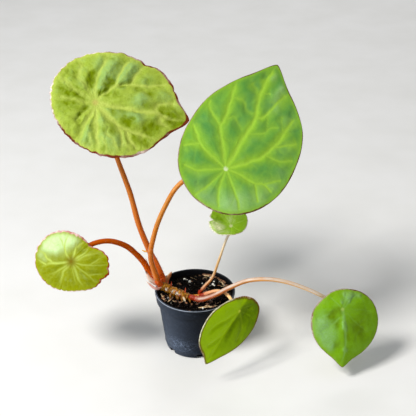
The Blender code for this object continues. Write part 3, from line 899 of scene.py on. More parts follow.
@dataclass(frozen=True)
class LeafPlan:
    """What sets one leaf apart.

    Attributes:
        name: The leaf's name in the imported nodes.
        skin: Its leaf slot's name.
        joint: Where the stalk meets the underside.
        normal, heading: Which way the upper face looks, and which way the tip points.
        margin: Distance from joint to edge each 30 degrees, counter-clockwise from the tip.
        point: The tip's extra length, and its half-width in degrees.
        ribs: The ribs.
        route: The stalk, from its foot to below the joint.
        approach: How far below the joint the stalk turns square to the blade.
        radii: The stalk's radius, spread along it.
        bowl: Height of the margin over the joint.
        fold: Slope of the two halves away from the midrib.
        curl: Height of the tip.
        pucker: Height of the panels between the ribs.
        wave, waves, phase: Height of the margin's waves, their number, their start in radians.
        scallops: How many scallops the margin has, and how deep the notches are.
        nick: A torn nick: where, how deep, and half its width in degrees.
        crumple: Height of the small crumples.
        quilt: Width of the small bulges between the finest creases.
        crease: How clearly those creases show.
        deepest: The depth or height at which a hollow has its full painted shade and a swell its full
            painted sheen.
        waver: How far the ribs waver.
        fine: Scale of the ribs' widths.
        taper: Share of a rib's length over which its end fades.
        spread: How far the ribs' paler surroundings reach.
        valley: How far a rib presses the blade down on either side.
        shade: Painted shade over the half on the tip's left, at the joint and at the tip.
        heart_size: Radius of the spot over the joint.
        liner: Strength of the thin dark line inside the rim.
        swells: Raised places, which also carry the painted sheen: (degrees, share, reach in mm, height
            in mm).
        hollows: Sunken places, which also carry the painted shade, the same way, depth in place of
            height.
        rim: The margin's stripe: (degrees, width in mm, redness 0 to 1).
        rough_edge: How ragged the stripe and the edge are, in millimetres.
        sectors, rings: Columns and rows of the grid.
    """
    name: str
    skin: LeafFinish
    joint: Spot
    normal: Spot
    heading: Spot
    margin: tuple[float, ...]
    point: tuple[float, float]
    ribs: tuple[Rib, ...]
    route: tuple[Spot, ...]
    approach: float
    radii: tuple[float, ...]
    bowl: float
    fold: float
    curl: float
    pucker: float
    wave: float
    waves: int
    phase: float
    scallops: tuple[int, float] = (0, 0.0)
    nick: tuple[float, float, float] = (0.0, 0.0, 5.0)
    crumple: float = 0.15
    quilt: float = 4.5
    crease: float = 0.3
    deepest: float = 0.8
    waver: float = 0.4
    fine: float = 1.0
    taper: float = 0.2
    spread: float = 2.4
    valley: float = 4.2
    shade: tuple[float, float] = (0.0, 0.0)
    heart_size: float = 2.6
    liner: float = 0.0
    swells: tuple[tuple[float, float, float, float], ...] = ()
    hollows: tuple[tuple[float, float, float, float], ...] = ()
    rim: tuple[tuple[float, float, float], ...] = ((0, 0.5, 0.5),)
    rough_edge: float = 0.2
    sectors: int = 340
    rings: int = 44

    def axes(self) -> Array:
        """The blade's axes as rows: towards the tip, across, and out of its upper face."""
        normal = unit(np.array(self.normal, dtype=float))
        heading = np.array(self.heading, dtype=float)
        heading = unit(heading - heading.dot(normal) * normal)
        return np.stack([heading, np.cross(normal, heading), normal])


UPPER_LEFT = LeafPlan(
    name="upper_left", skin=LeafFinish.PALE,
    joint=(-67.6, 4, 196), normal=(.05, -.72, .69), heading=(.986, -.075, -.15),
    margin=(51.2, 54.1, 45, 39.1, 37.6, 34.8, 32.4, 29.8, 30.9, 34.2, 43, 49.9),
    point=(15, 12), bowl=-3, fold=0, curl=-3, pucker=2.2, wave=1.6, waves=5, phase=.6,
    scallops=(37, .45), nick=(50, 2, 5), rough_edge=.8, sectors=420, rings=56,
    crumple=.5, quilt=5, crease=.16, deepest=.9, waver=1.2, fine=1.5, valley=3.4,
    route=((-25.6, 4.2, 57.6), (-29.5, 5.6, 67.6), (-33.5, 6, 76.9), (-40.7, 6, 98.9),
           (-46.4, 7, 124.6), (-54.1, 9, 149.2), (-62, 13.6, 173)),
    approach=12, radii=(2.3, 2.1, 1.8, 1.6),
    ribs=(
        Rib(((0, 0), (356, .1), (358, .3), (359, .54), (1, .63), (359, .7), (358, .8), (0, 1)),
            (1.3, .6), 1),
        Rib(((1, .63), (9, .76), (10, .97))), Rib(((357, .72), (353, .79), (351, .92))),
        Rib(((57, 0), (58, .17), (54, .32), (55, .43), (61, .56), (63, .77), (64, .95)), (1, .5)),
        Rib(((54, .42), (40, .54), (31, .66), (27, .85), (26, .97))),
        Rib(((40, .55), (47, .72), (51, .92))),
        Rib(((99, 0), (99, .22), (96, .5), (90, .68), (85, .95)), (1.3, .8), .7),
        Rib(((128, 0), (129, .37), (131, .6), (124, .73), (117, .93)), (1.5, 1.1), .6, .4),
        Rib(((155, 0), (155, .5), (154, .95)), (1.5, 1.1), .6, .4),
        Rib(((187, 0), (186, .36), (181, .56), (181, .9)), (1.5, 1.1), .6, .4),
        Rib(((234, 0), (236, .44), (235, .7)), (.8, .4), .5),
        Rib(((262, 0), (262, .3), (255, .6), (259, .93)), (1.2, .9), .7),
        Rib(((284, 0), (283, .46), (285, .93)), (1.1, .6), .9),
        Rib(((322, 0), (321, .26), (323, .42), (327, .58), (334, .74), (338, .95)), (1.4, .7), 1),
        Rib(((327, .58), (321, .78), (322, .92)), weight=1),
        Rib(((322, .5), (316, .65), (309, .85))),
        Rib(((300, .58), (304, .76), (302, .94)), (.8, .6), .55, .25),
        Rib(((291, .66), (294, .82), (291, .95)), (.8, .6), .5, .2),
        Rib(((313, .7), (316, .82), (314, .94)), (.8, .6), .55, .25),
        Rib(((272, .7), (276, .84), (273, .96)), (.8, .6), .5, .25)),
    swells=(
        (83, .35, 4, 1.2), (81, .56, 4.5, 1.3), (77, .74, 4.5, 1), (55, .54, 3.6, 1.1),
        (56, .67, 4.5, 1.3), (56, .82, 3.6, .8), (339, .22, 3.4, .5), (345, .34, 3.6, .6),
        (348, .44, 3.6, .5), (12, .53, 4.5, 1.2), (349, .57, 4.5, 1), (265, .62, 3.2, .6),
        (269, .81, 3.6, .6), (298, .34, 3.6, .7), (295, .62, 4.5, .6), (310, .69, 4.5, .6),
        (131, .45, 3.6, .7), (96, .78, 3.6, .8), (34, .71, 3.6, .7), (332, .33, 3, .6),
        (298, .8, 5, .4), (272, .9, 3.6, .6), (16, .82, 3.6, .6), (266, .93, 3, .5)),
    hollows=(
        (105, .48, 4, 1.5), (117, .34, 3, 1.3), (65, .46, 2.4, 1.3), (65, .32, 2.4, 1.3),
        (70, .19, 2.2, 1.2), (46, .22, 2, .9), (45, .48, 2, 1.2), (43, .57, 2, .9),
        (228, .26, 1.8, 1.1), (232, .43, 1.8, 1.2), (236, .59, 1.6, 1), (168, .3, 4, 1),
        (169, .5, 5.6, .8), (168, .7, 5.4, .5), (195, .67, 5.6, .8), (137, .66, 5, .35),
        (140, .82, 5, .2), (32, .73, 2.5, .7), (20, .7, 2.5, .9), (26, .56, 2.5, .7), (6, .58, 3, .7),
        (14, .44, 2, .6), (3, .73, 3, 1), (2, .82, 4, 1.2), (356, .9, 4, 1.3), (347, .77, 4, 1.2),
        (341, .81, 3.5, 1.2), (335, .52, 3.2, 1), (342, .54, 2.5, .8), (358, .97, 3, 1),
        (326, .79, 2.4, .9), (330, .89, 2.6, .8), (311, .52, 2, .6), (293, .88, 2.8, .7),
        (32, .29, 2.6, .6), (335, .29, 3, .8), (341, .4, 2.4, .5), (350, .3, 1.8, .4)),
    rim=(
        (0, 1.8, 1), (12, 1.5, 1), (24, 2.2, .7), (36, 1.9, .95), (48, 1.7, 1), (58, 1.2, .4),
        (70, 1.1, .7), (82, .9, .7), (92, .6, .2), (120, .6, .1), (170, .7, 0), (205, .6, .25),
        (225, .8, .8), (245, 1.2, 1), (262, .8, .8), (290, 1.2, 1), (312, 1.4, .9), (324, 1.8, .35),
        (334, 1.5, 1), (348, 1.6, 1)))

UPPER_RIGHT = LeafPlan(
    name="upper_right", skin=LeafFinish.DARK,
    joint=(21.6, -33, 163.5), normal=(.3, -.74, .6), heading=(.437, .667, .604),
    margin=(75.6, 56.7, 41.9, 35.2, 32.8, 30.5, 29, 30.7, 34, 39.8, 50.3, 66.8),
    point=(13.5, 6.8), bowl=-3, fold=.04, curl=-5, pucker=.8, wave=1, waves=3, phase=1,
    rough_edge=.1, sectors=420, rings=52, crumple=.12, quilt=9, crease=.22, deepest=.9,
    waver=.7, fine=1.15, spread=5, heart_size=1.7, taper=.1,
    route=((-27.9, -4.2, 58.6), (-31.6, -7.2, 75.3), (-31.8, -8.2, 84.4), (-30.4, -9.4, 93),
           (-26.4, -11, 108.7), (-20.4, -14, 124.8), (-12.8, -17.4, 140.6),
           (-3.6, -20.6, 150.8), (6.6, -22.2, 156.2), (14.4, -24.2, 157.8)),
    approach=7, radii=(2, 1.8, 1.7, 1.6),
    ribs=(
        Rib(((0, 0), (358, .28), (357, .5), (2, .69), (1, .96)), (1.6, .7), 1),
        Rib(((36, 0), (36, .33), (35, .54), (29, .59), (23, .77), (20, .98)), (1.3, .9), .9),
        Rib(((35, .54), (40, .74), (42, .9), (39, .94)), (.9, .8), .75),
        Rib(((29, .59), (19, .57), (12, .47), (3, .35)), (.7, .6), .6),
        Rib(((22, .82), (12, .7), (8, .6), (359, .5)), (.7, .6), .7),
        Rib(((2, .68), (6, .79), (10, .89)), (.8, .6), .75),
        Rib(((342, .58), (350, .66)), (.6, .5), .5), Rib(((330, .74), (342, .8)), (.6, .5), .5),
        Rib(((33, .4), (18, .3), (4, .24)), (.6, .5), .4),
        Rib(((357, .5), (351, .62), (350, .76), (348, .96)), (.9, .7), .85),
        Rib(((1, .7), (356, .78)), (.6, .5), .6),
        Rib(((355, .37), (344, .49), (341, .56), (341, .62), (337, .72)), (.8, .6), .6),
        Rib(((317, 0), (317, .38), (320, .5), (327, .67), (332, .8), (335, .94)), (1.2, .7), 1),
        Rib(((324, .62), (321, .78), (320, .92)), (.8, .7), .8),
        Rib(((319, .5), (311, .65), (308, .8), (308, .93)), (.8, .7), .7),
        Rib(((276, 0), (276, .3), (275, .55), (279, .66), (273, .89)), (1, .7), .85),
        Rib(((275, .55), (262, .7), (253, .88)), (.9, .8), .8),
        Rib(((279, .66), (284, .74), (290, .87)), (.9, .7), .7),
        Rib(((229, 0), (229, .36), (228, .65), (226, .92)), (1, .8), .75),
        Rib(((188, 0), (189, .41), (193, .72), (197, .92)), (1.1, .8), .7),
        Rib(((161, 0), (162, .45), (160, .76), (159, .98)), (1, .8), .65),
        Rib(((122, 0), (122, .37), (123, .66), (114, .92)), (1, .8), .75),
        Rib(((78, 0), (78, .37), (75, .64), (67, .79), (64, .93)), (1, .8), .85),
        Rib(((75, .64), (91, .94)), (.9, .7), .8),
        Rib(((42, .9), (66, .92), (92, .9), (114, .92)), (.9, .9), .15),
        Rib(((20, .93), (42, .93)), (.9, .9), .15),
        Rib(((320, .93), (308, .9), (290, .9), (273, .92), (253, .92)), (.9, .9), .15)),
    swells=(
        (318, .76, 6, .22), (271, .72, 6, .22), (336, .84, 5, .25), (143, .65, 6, .2),
        (208, .84, 7, .7), (237, .78, 7, .6), (222, .86, 5, .5), (258, .86, 5, .6), (168, .84, 5, .6),
        (184, .88, 5, .5), (352, .86, 4, .6), (352, .93, 2.6, .6), (350, .76, 4, .5),
        (359, .88, 2.6, .5), (280, .84, 5, .4), (296, .84, 5, .3)),
    hollows=(
        (9, .51, 7, .5), (354, .7, 6, .5), (6, .64, 5, .6), (52, .74, 6, .4), (97, .72, 6, .4),
        (6, .82, 4, .5), (3, .9, 2.4, .7), (333, .85, 5, .3), (318, .69, 5, .3), (302, .43, 6, .3),
        (146, .71, 5, .3), (177, .76, 4, .3), (338, .92, 3, .7), (328, .92, 3, .5), (36, .78, 5, .3)),
    rim=(
        (0, .6, .9), (5, .8, 1), (14, .7, .9), (26, .5, .3), (60, .5, .3), (90, .5, .4), (150, .5, .2),
        (190, .6, .3), (206, .8, .9), (222, .6, .7), (242, .9, 1), (262, .6, .9), (300, .7, 1),
        (350, .8, 1)))

LEFT = LeafPlan(
    name="left", skin=LeafFinish.LIME,
    joint=(-86.8, -30, 89.5), normal=(-.33, -.84, .43), heading=(.882, -.437, -.178),
    margin=(22.9, 25.4, 17, 18.5, 21.5, 26.5, 30.8, 30.9, 28, 23.3, 21.8, 23.6),
    point=(5, 17), bowl=-6, fold=0, curl=-3, pucker=1.2, wave=.8, waves=4, phase=.3,
    scallops=(34, .75), nick=(351, 1.3, 8), rough_edge=.25, sectors=408, rings=40,
    crumple=.1, crease=.12, deepest=.65, waver=.6, fine=1.15, spread=2.4, valley=3,
    heart_size=5, taper=.5,
    route=((-31.6, .2, 57.2), (-34.2, -.8, 63.8), (-38, -3, 73.2), (-43.3, -7, 82.8),
           (-49.4, -11, 91.1), (-59, -15.6, 97.6), (-68.6, -18.4, 98.4),
           (-77.2, -19.6, 94.6), (-82.8, -21.6, 89)),
    approach=6, radii=(2.3, 2.1, 1.9, 1.8),
    ribs=(
        Rib(((5, 0), (5, .23), (9, .38), (13, .62), (16, .93), (17, 1)), (.6, .4), .5),
        Rib(((12, .51), (24, .7), (31, 1)), (.5, .4), .45),
        Rib(((33, 0), (33, .25), (43, .5), (40, .67), (40, .92)), (.8, .6), .55),
        Rib(((45, 0), (49, .3), (52, .53), (57, .76), (66, 1)), (.8, .8), .7),
        Rib(((84, 0), (84, .12), (88, .32), (93, .54), (97, .71), (105, .86)), (.9, .5), .9),
        Rib(((88, .62), (85, .78), (76, .97)), (.8, .5), .7),
        Rib(((149, 0), (149, .09), (148, .26), (141, .42), (132, .59), (124, .78), (119, .94)),
            (.8, .5), .9),
        Rib(((142, .51), (140, .68), (142, .85)), (.6, .5), .5),
        Rib(((210, 0), (210, .22), (208, .38), (207, .52), (209, .66), (211, .84)),
            (.8, .9), .95, .5),
        Rib(((206, .5), (196, .62), (188, .75), (186, .96)), (.8, .6), .85, .6),
        Rib(((208, .69), (204, .77), (198, .94)), (.7, .6), .85, .5),
        Rib(((239, 0), (239, .2), (235, .39), (232, .58), (227, .88)), (.8, .7), .5),
        Rib(((256, 0), (256, .17), (249, .35), (255, .52), (259, .7), (260, .94)), (.9, .8), .6),
        Rib(((298, 0), (298, .23), (300, .4), (299, .58), (301, .71), (289, .87)), (.6, .5), .35),
        Rib(((320, 0), (320, .28), (313, .5), (314, .69), (314, .95)), (1, .8), .6),
        Rib(((343, 0), (343, .26), (343, .43), (342, .63), (339, .85), (341, .98)), (.7, .6), .42),
        Rib(((343, .64), (354, .77), (1, .94)), (.5, .4), .45)),
    swells=(
        (155, .69, 7, .3), (163, .8, 5.5, .2), (137, .77, 5.5, .2), (175, .71, 5, .2),
        (165, .59, 5, .15), (118, .85, 4.6, .3), (142, .44, 2.5, .15), (168, .49, 3, .15),
        (179, .77, 3, .3), (101, .79, 3, .3), (150, .88, 5, .2), (126, .62, 4.6, .2),
        (112, .72, 3.5, .25), (190, .88, 3, .25), (198, .7, 2.5, .2), (132, .92, 4, .2),
        (170, .93, 4, .2), (92, .9, 2.5, .2)),
    hollows=(
        (45, .08, 3.5, .1), (200, .12, 3, .1), (221, .46, 2.5, .25), (219, .29, 2.5, .3),
        (226, .6, 2.5, .2), (332, .46, 2.5, .2), (78, .65, 2, .2), (57, .73, 2.5, .15),
        (31, .7, 3.5, .15), (8, .7, 3.5, .15), (354, .69, 3, .15), (244, .59, 2.5, .2),
        (266, .32, 2.5, .2), (300, .7, 2, .15), (331, .82, 2.4, .15)),
    rim=(
        (0, 1, 1), (25, .8, 1), (45, .9, .9), (60, .8, .5), (70, .8, .9), (80, 1.1, .5), (110, 1.5, .3),
        (150, 1.3, .15), (180, .9, 0), (200, .6, .2), (212, .7, .9), (222, .4, .2), (232, .6, .9),
        (244, .5, .5), (262, .3, .1), (312, .3, .1), (326, .6, .8), (340, .8, .9)))

YOUNG = LeafPlan(
    name="young", skin=LeafFinish.BRIGHT,
    joint=(26.3, -2, 102.5), normal=(-.1, -.5, .86), heading=(.962, .172, .212),
    margin=(12.9, 13.5, 14.7, 15.1, 17, 16.4, 15, 13.1, 10, 10.4, 12, 12),
    point=(0, 16), bowl=4, fold=0, curl=0, pucker=.5, wave=.8, waves=4, phase=0,
    scallops=(22, .3), nick=(149, 2.8, 4), rough_edge=.15, sectors=240, rings=26,
    heart_size=1.6,
    route=((5.2, -2.1, 48), (7.9, -2, 51.9), (13.3, -1, 59), (18.3, 0, 74.4),
           (23.1, 1, 89.5)),
    approach=6, radii=(1.2, 1, .9, .9),
    ribs=tuple(Rib(((angle, 0), (angle + 3, .5), (angle, .9)), (.6, .35), .7)
               for angle in (0, 50, 100, 150, 200, 250, 300)),
    swells=(
        (70, .3, 2.2, .35), (176, .8, 3.6, .8), (196, .85, 3.6, .8), (168, .6, 2.6, .6),
        (160, .9, 2.6, .6), (240, .9, 2, .3)),
    hollows=(
        (130, .5, 3, .3), (300, .6, 2.5, .2), (20, .7, 3, .4), (110, .5, 2.5, .2), (215, .4, 2.2, .2)),
    rim=(
        (0, .3, .6), (90, .4, .3), (150, .9, 0), (200, .8, 0), (235, .6, .1), (265, .4, .4),
        (290, .4, .6), (310, .5, .2)))

FRONT = LeafPlan(
    name="front", skin=LeafFinish.BRIGHT,
    joint=(32, -40, 54.3), normal=(.57, -.82, .04), heading=(-.514, -.394, -.762),
    margin=(38.1, 29.7, 23.3, 18.6, 17.7, 14.5, 12.1, 11.5, 13.8, 18.7, 30.9, 38.3),
    point=(7, 8), bowl=-1, fold=.12, curl=-1, pucker=1.5, wave=.5, waves=5, phase=0,
    rough_edge=.1, crumple=.08, crease=.1, deepest=1.8, shade=(.9, .2),
    heart_size=1.3, liner=.9, valley=2.4, fine=1.1,
    route=((7.2, -6.6, 46.9), (10.5, -7.2, 48.7), (15.6, -9, 51.4), (20.4, -12, 52.5),
           (24, -16, 52.4), (26.6, -21.5, 51.8)),
    approach=8, radii=(1.4, 1.2, 1.1, 1.1),
    ribs=(
        Rib(((0, 0), (357, .12), (358, .29), (356, .48), (358, .6), (0, .75), (358, .96)),
            (1, .6), .7),
        Rib(((50, 0), (50, .23), (47, .48), (40, .65), (34, .78), (31, .83)), (1, .7), .3, .7),
        Rib(((316, 0), (322, .34), (319, .55), (324, .8)), (.9, .8), .6),
        Rib(((356, .48), (348, .69), (343, .89)), (.8, .7), .6),
        Rib(((167, 0), (167, .2), (139, .51), (136, .73)), (.8, .6), .15, .3),
        Rib(((90, 0), (92, .5), (86, .85)), (.7, .5), .15, .3),
        Rib(((262, 0), (266, .5), (276, .85)), (.8, .6), .25, .3),
        Rib(((210, 0), (212, .5), (208, .8)), (.7, .5), .2, .3)),
    hollows=(
        (110, .5, 5, .7), (80, .48, 5, .7), (14, .18, 1.8, .4), (10, .28, 2, .5), (8, .38, 2, .5),
        (7, .48, 2, .5), (6, .58, 2, .4), (5, .68, 2, .3), (130, .61, 2.5, .3), (102, .35, 4, .5)),
    rim=(
        (0, .4, .2), (60, .4, .3), (100, .6, .8), (140, 1, .9), (190, .9, .95), (215, .8, 1),
        (236, .7, .8), (252, .7, .15), (270, .7, 0), (325, .6, 0), (345, .6, .8)))

RIGHT = LeafPlan(
    name="right", skin=LeafFinish.GREEN,
    joint=(106.2, -35, 52.5), normal=(.22, -.88, .42), heading=(.034, -.424, -.905),
    margin=(37, 36.5, 33.2, 27, 20.4, 15.8, 14.2, 14.2, 15.9, 20.2, 25.5, 31.7),
    point=(6, 8), bowl=-4, fold=-.1, curl=-1, pucker=1, wave=.6, waves=3, phase=2,
    rough_edge=.1, crumple=.14, quilt=7, crease=.1, deepest=.5, shade=(.1, .34),
    heart_size=1.5, fine=1.15,
    route=((.2, -10.3, 45.8), (3.4, -11.6, 45.6), (7.8, -13, 47.3), (15, -15.5, 52),
           (25.1, -19, 60.5), (38.5, -22, 68.5), (52.8, -24, 70.9), (64.9, -25.5, 69.8),
           (75.8, -26.5, 66.5), (86.7, -27, 61.6), (97, -26, 54.8)),
    approach=6, radii=(1.9, 1.6, 1.4, 1.3),
    ribs=(
        Rib(((6, 0), (6, .13), (6, .29), (5, .44), (4, .58), (2, .72), (1, .79), (358, .96)),
            (1.2, .5), .5, 0),
        Rib(((338, .2), (329, .3), (323, .46), (323, .69)), (.8, .6), .4),
        Rib(((322, .5), (315, .82)), (.7, .6), .4),
        Rib(((40, 0), (44, .4), (48, .85)), (.7, .5), .15),
        Rib(((84, 0), (84, .5), (80, .9)), (.7, .5), .15),
        Rib(((130, 0), (132, .5), (128, .9)), (.9, .6), .35),
        Rib(((165, 0), (163, .5), (160, .9)), (.9, .6), .35),
        Rib(((286, .45), (288, .9)), (.8, .5), .25),
        Rib(((218, .2), (222, .5), (222, .9)), (.7, .5), .3)),
    swells=(
        (300, .71, 6, .5), (331, .67, 5, .4), (329, .86, 4, .3), (309, .84, 5, .4), (151, .63, 3, .6),
        (165, .85, 2, .5), (131, .79, 2, .5), (7, .26, 1.4, .8), (7, .34, 1.6, .9), (2, .14, 1.2, .5),
        (3, .71, 1.2, .7), (352, .97, 1.2, .4), (185, .4, 1.2, .4), (133, .39, 1, .5),
        (339, .83, 3, .4), (140, .7, 1.6, .6), (155, .78, 1.4, .7), (147, .88, 1.6, .6),
        (122, .84, 1.4, .6), (171, .72, 1.4, .5)),
    hollows=(
        (274, .2, 3, .35), (290, .3, 3.6, .4), (300, .42, 3.6, .3), (245, .2, 1.8, .2),
        (340, .33, 2.6, .4), (68, .61, 6, .3), (38, .47, 5, .2), (38, .66, 6, .3), (352, .7, 3, .4),
        (10, .52, 2.4, .3), (358, .89, 2, .3)),
    rim=(
        (0, .3, .3), (20, .4, .5), (60, .6, .6), (90, .7, .7), (120, .8, .9), (145, .8, .8),
        (160, .5, .2), (200, .3, .1), (250, .6, .15), (280, .8, .2), (320, .5, .2), (340, .4, .5)))

LEAVES: tuple[LeafPlan, ...] = (UPPER_LEFT, UPPER_RIGHT, LEFT, YOUNG, FRONT, RIGHT)


@dataclass
class Blade:
    """A leaf blade: one closed skin, grown from a polar grid round the joint.

    Attributes:
        plan: The leaf's own sizes.
        thickness: Thickness of the blade.
        lip: How far from the margin the edge starts to round over.
        insets: Distances from the margin of the last rings, for the rim's detail.
        groove: Depth of the ribs in the upper face.
        ridge: Height of the ribs under the lower face.
        zone_width: Width of the pale band inside the margin.
    """
    plan: LeafPlan
    thickness: float = 0.62
    lip: float = 0.3
    insets: tuple[float, ...] = (2.2, 1.7, 1.3, 0.95, 0.65, 0.4, 0.2, 0.08, 0.0)
    groove: float = 0.28
    ridge: float = 0.35
    zone_width: float = 3.0

    def margin_radius(self, angle: Array) -> Array:
        """Distance from joint to edge.

        Formula: a closed Catmull-Rom curve through the margin values, plus the tip's length
        times exp(-(angle from tip / width) ^ 1.4), less the nick's bell curve, the notches
        between scallops (a rectified cosine whose spacing drifts) and fine raggedness.

        Args:
            angle: Radians from the tip, any shape.

        Returns:
            Distances of the same shape.
        """
        plan = self.plan
        margin = np.array(plan.margin, dtype=float)
        count = len(margin)
        place = (angle / (2 * np.pi) * count) % count
        index = np.floor(place).astype(int)
        fours = (margin[(index + k) % count] for k in (-1, 0, 1, 2))
        radius = between(*fours, place - index)
        from_tip = np.abs((angle + np.pi) % (2 * np.pi) - np.pi)
        tip_length, tip_width = plan.point
        radius = radius + tip_length * np.exp(-(from_tip / math.radians(tip_width)) ** 1.4)
        nick_at, depth, width = plan.nick
        from_nick = np.abs((np.degrees(angle) - nick_at + 180) % 360 - 180)
        radius = radius - depth * np.exp(-(from_nick / width) ** 2)
        ring = 12 * circle(angle)
        number, notch = plan.scallops
        if number:
            drift = 0.5 * smooth_noise(ring, 8.0, 5, 1)
            wave = np.abs(np.sin(0.5 * number * angle + 2 * drift))
            uneven = 0.7 + 0.5 * smooth_noise(ring, 5.0, 6, 1)
            radius = radius - notch * uneven * (1 - wave) ** 1.5
        ragged = smooth_noise(ring, 0.8, 7, 2)
        return radius - plan.rough_edge * np.clip(0.5 + ragged, 0, 1)

    def rib_field(self, flat: Array) -> tuple[Array, Array, Array]:
        """How strongly ribs show, press and tint their surroundings at each place.

        Formula: each rib gives weight * exp(-(distance / width) ^ 2), then
        sink * exp(-(distance / valley) ^ 2) and weight * exp(-(distance / halo) ^ 2); the
        largest of each is kept.

        Args:
            flat: Places along and across the blade, shape (n, 2).

        Returns:
            The line strength, the press and the halo, each of shape (n,).
        """
        line, press, halo = (np.zeros(len(flat)) for _ in range(3))
        for rib in self.plan.ribs:
            trace = np.array(rib.trace, dtype=float)
            angle = np.radians(np.unwrap(trace[:, 0], period=360))
            reach = trace[:, 1] * self.margin_radius(angle)
            run = smooth_route(np.stack([reach * np.cos(angle), reach * np.sin(angle)], -1), 5)
            gap, along = near_route(flat, run)
            width = self.plan.fine * (rib.width[0] + (rib.width[1] - rib.width[0]) * along)
            fade = np.clip((1.04 - along) / self.plan.taper, 0.12, 1)
            line = np.maximum(line, rib.weight * fade * np.exp(-(gap / width) ** 2))
            press = np.maximum(press, rib.sink * fade * np.exp(-(gap / self.plan.valley) ** 2))
            halo = np.maximum(halo, rib.weight * fade * np.exp(-(gap / self.plan.spread) ** 2))
        return line, press, halo

    def dimples(self, flat: Array, places: tuple[tuple[float, ...], ...]) -> Array:
        """Sum of oval bumps, a third longer towards the margin than across.

        Formula: each is its height times exp(-(distance / reach) ^ 2.2).

        Args:
            flat: Places along and across the blade, shape (n, 2).
            places: Bumps as (degrees, share, reach, height).

        Returns:
            The summed height, shape (n,).
        """
        total = np.zeros(len(flat))
        for degrees, share, reach, height in places:
            angle = np.radians(degrees)
            radius = share * float(self.margin_radius(np.array([angle]))[0])
            outward = np.array([math.cos(angle), math.sin(angle)])
            away = flat - radius * outward
            square = (away ** 2).sum(axis=1) - 0.44 * (away @ outward) ** 2
            total += height * np.exp(-(square / reach ** 2) ** 1.1)
        return total

    def shell(self) -> Shell:
        """The whole closed blade with its values.

        Formula: height = bowl * share^2 + fold * (sqrt(across^2 + 9) - 3) + curl of the tip
        + pucker where no rib presses + swells - hollows - rib grooves + margin waves + noise.
        The lower face follows the upper one a thickness below, with the ribs standing out,
        and the two meet in a rounded lip.

        Returns:
            The shell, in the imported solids' frame.
        """
        plan = self.plan
        angle = turns(plan.sectors)
        radius = self.margin_radius(angle)
        inner = (np.arange(1, plan.rings + 1) / plan.rings) ** 0.92
        share = inner[:, None] * (1 - self.insets[0] * 1.25 / radius)[None]
        share = np.vstack([share, 1 - np.array(self.insets)[:, None] / radius[None]])
        turn = np.broadcast_to(angle, share.shape)
        inset = (1 - share) * radius
        along, across = (share * radius * part for part in (np.cos(turn), np.sin(turn)))
        flat = np.stack([along, across], -1).reshape(-1, 2)
        place = np.stack([along, across, 0 * along], -1)
        drift = np.stack([smooth_noise(place, 5.0, seed, 2) for seed in (31, 32)], -1)
        drift = drift.reshape(-1, 2)
        line, press, halo = (part.reshape(share.shape)
                             for part in self.rib_field(flat + plan.waver * drift))
        swell = self.dimples(flat + 1.6 * drift, plan.swells).reshape(share.shape)
        hollow = self.dimples(flat + 2.0 * drift, plan.hollows).reshape(share.shape)
        hollow = hollow * np.clip(0.9 + 0.7 * smooth_noise(place, 3.2, 71, 3), 0.3, 1.5)
        rays = np.stack([14 * np.cos(turn), 14 * np.sin(turn), share * radius / 2.0], -1)
        crumple = 0.6 * np.clip(share * radius / 11, 0, 1) ** 1.5 * smooth_noise(rays, 2.1, 51, 2)
        crumple = crumple + 0.55 * smooth_noise(place, 3.4, 52, 3)
        length = plan.margin[0] + plan.point[0]
        height = plan.bowl * share ** 2 + plan.fold * (np.sqrt(across ** 2 + 9) - 3)
        height = height + plan.curl * (np.clip(along / length - 0.55, 0, 1) / 0.45) ** 2
        rise = np.sin(0.85 * np.pi * share ** 0.8) * (1 - np.exp(-(share * radius / 8) ** 2))
        height = height + plan.pucker * (1 - press) * rise
        height = height + plan.wave * share ** 3 * np.sin(plan.waves * turn + plan.phase)
        quilt = np.clip(np.abs(smooth_noise(place, plan.quilt, 61, 2)) / 0.45, 0, 1)
        line = np.maximum(line, plan.crease * (1 - quilt) ** 2)
        calm = np.clip(inset / 2.5, 0.15, 1)
        held = calm * (1 - np.exp(-(share * radius / 3.6) ** 2))
        height = height + held * (swell - hollow + plan.crumple * (crumple + 0.8 * quilt))
        half = self.thickness / 2 * np.sqrt(np.clip(1 - (1 - inset / self.lip) ** 2, 0, 1))
        half = np.where(inset < self.lip, half, self.thickness / 2)
        top = height + half - self.groove * line * calm
        bottom = height - half - self.ridge * line * calm
        rim = np.array(plan.rim, dtype=float)
        degrees = np.degrees(angle)
        width = np.interp(degrees, rim[:, 0], rim[:, 1], period=360)
        red = np.interp(degrees, rim[:, 0], rim[:, 2], period=360)
        ring = 12 * circle(angle)
        width = width * (1 + 0.8 * smooth_noise(ring, 1.3, 21, 2))
        red = np.clip(red + 0.5 * smooth_noise(ring, 1.0, 23, 2), 0, 1)
        # Painted shade on the crumples' low parts and painted sheen on their high parts; low also holds
        # the painted shade of the hollows and the shaded half, high the painted sheen of the swells.
        crumple_shade_and_sheen = min(1.0, 2.2 * plan.crumple)
        low = np.clip(hollow / plan.deepest + 1.1 * crumple_shade_and_sheen * np.clip(-crumple - 0.12, 0, 1), 0, 1)
        high = np.clip(swell / plan.deepest + 1.1 * crumple_shade_and_sheen * np.clip(crumple - 0.12, 0, 1), 0, 1)
        shade = plan.shade[0] + np.diff(plan.shade) * np.clip(along / length, 0, 1)
        low = np.clip(low * (1 - 0.7 * line) + shade / (1 + np.exp(-across / 0.6)), 0, 1)
        liner = plan.liner * np.exp(-((inset - width - 0.45) / 0.5) ** 2)
        values = {
            "rib": line, "halo": halo, "hollow": low, "painted_sheen": high * (1 - line), "liner": liner,
            "zone": 0.85 * np.exp(-(inset / self.zone_width) ** 2),
            "rim": np.clip((width[None] - inset) / 0.35 + 0.5, 0, 1),
            "red": np.broadcast_to(red, share.shape),
            "heart": np.exp(-((share * radius) / plan.heart_size) ** 2)}
        under = np.zeros(share.shape)

        def both_faces(upper: Array, lower: Array) -> Array:
            """Upper rows outwards, then lower rows inwards; the margin row comes once."""
            return np.vstack([upper, lower[-2::-1]])

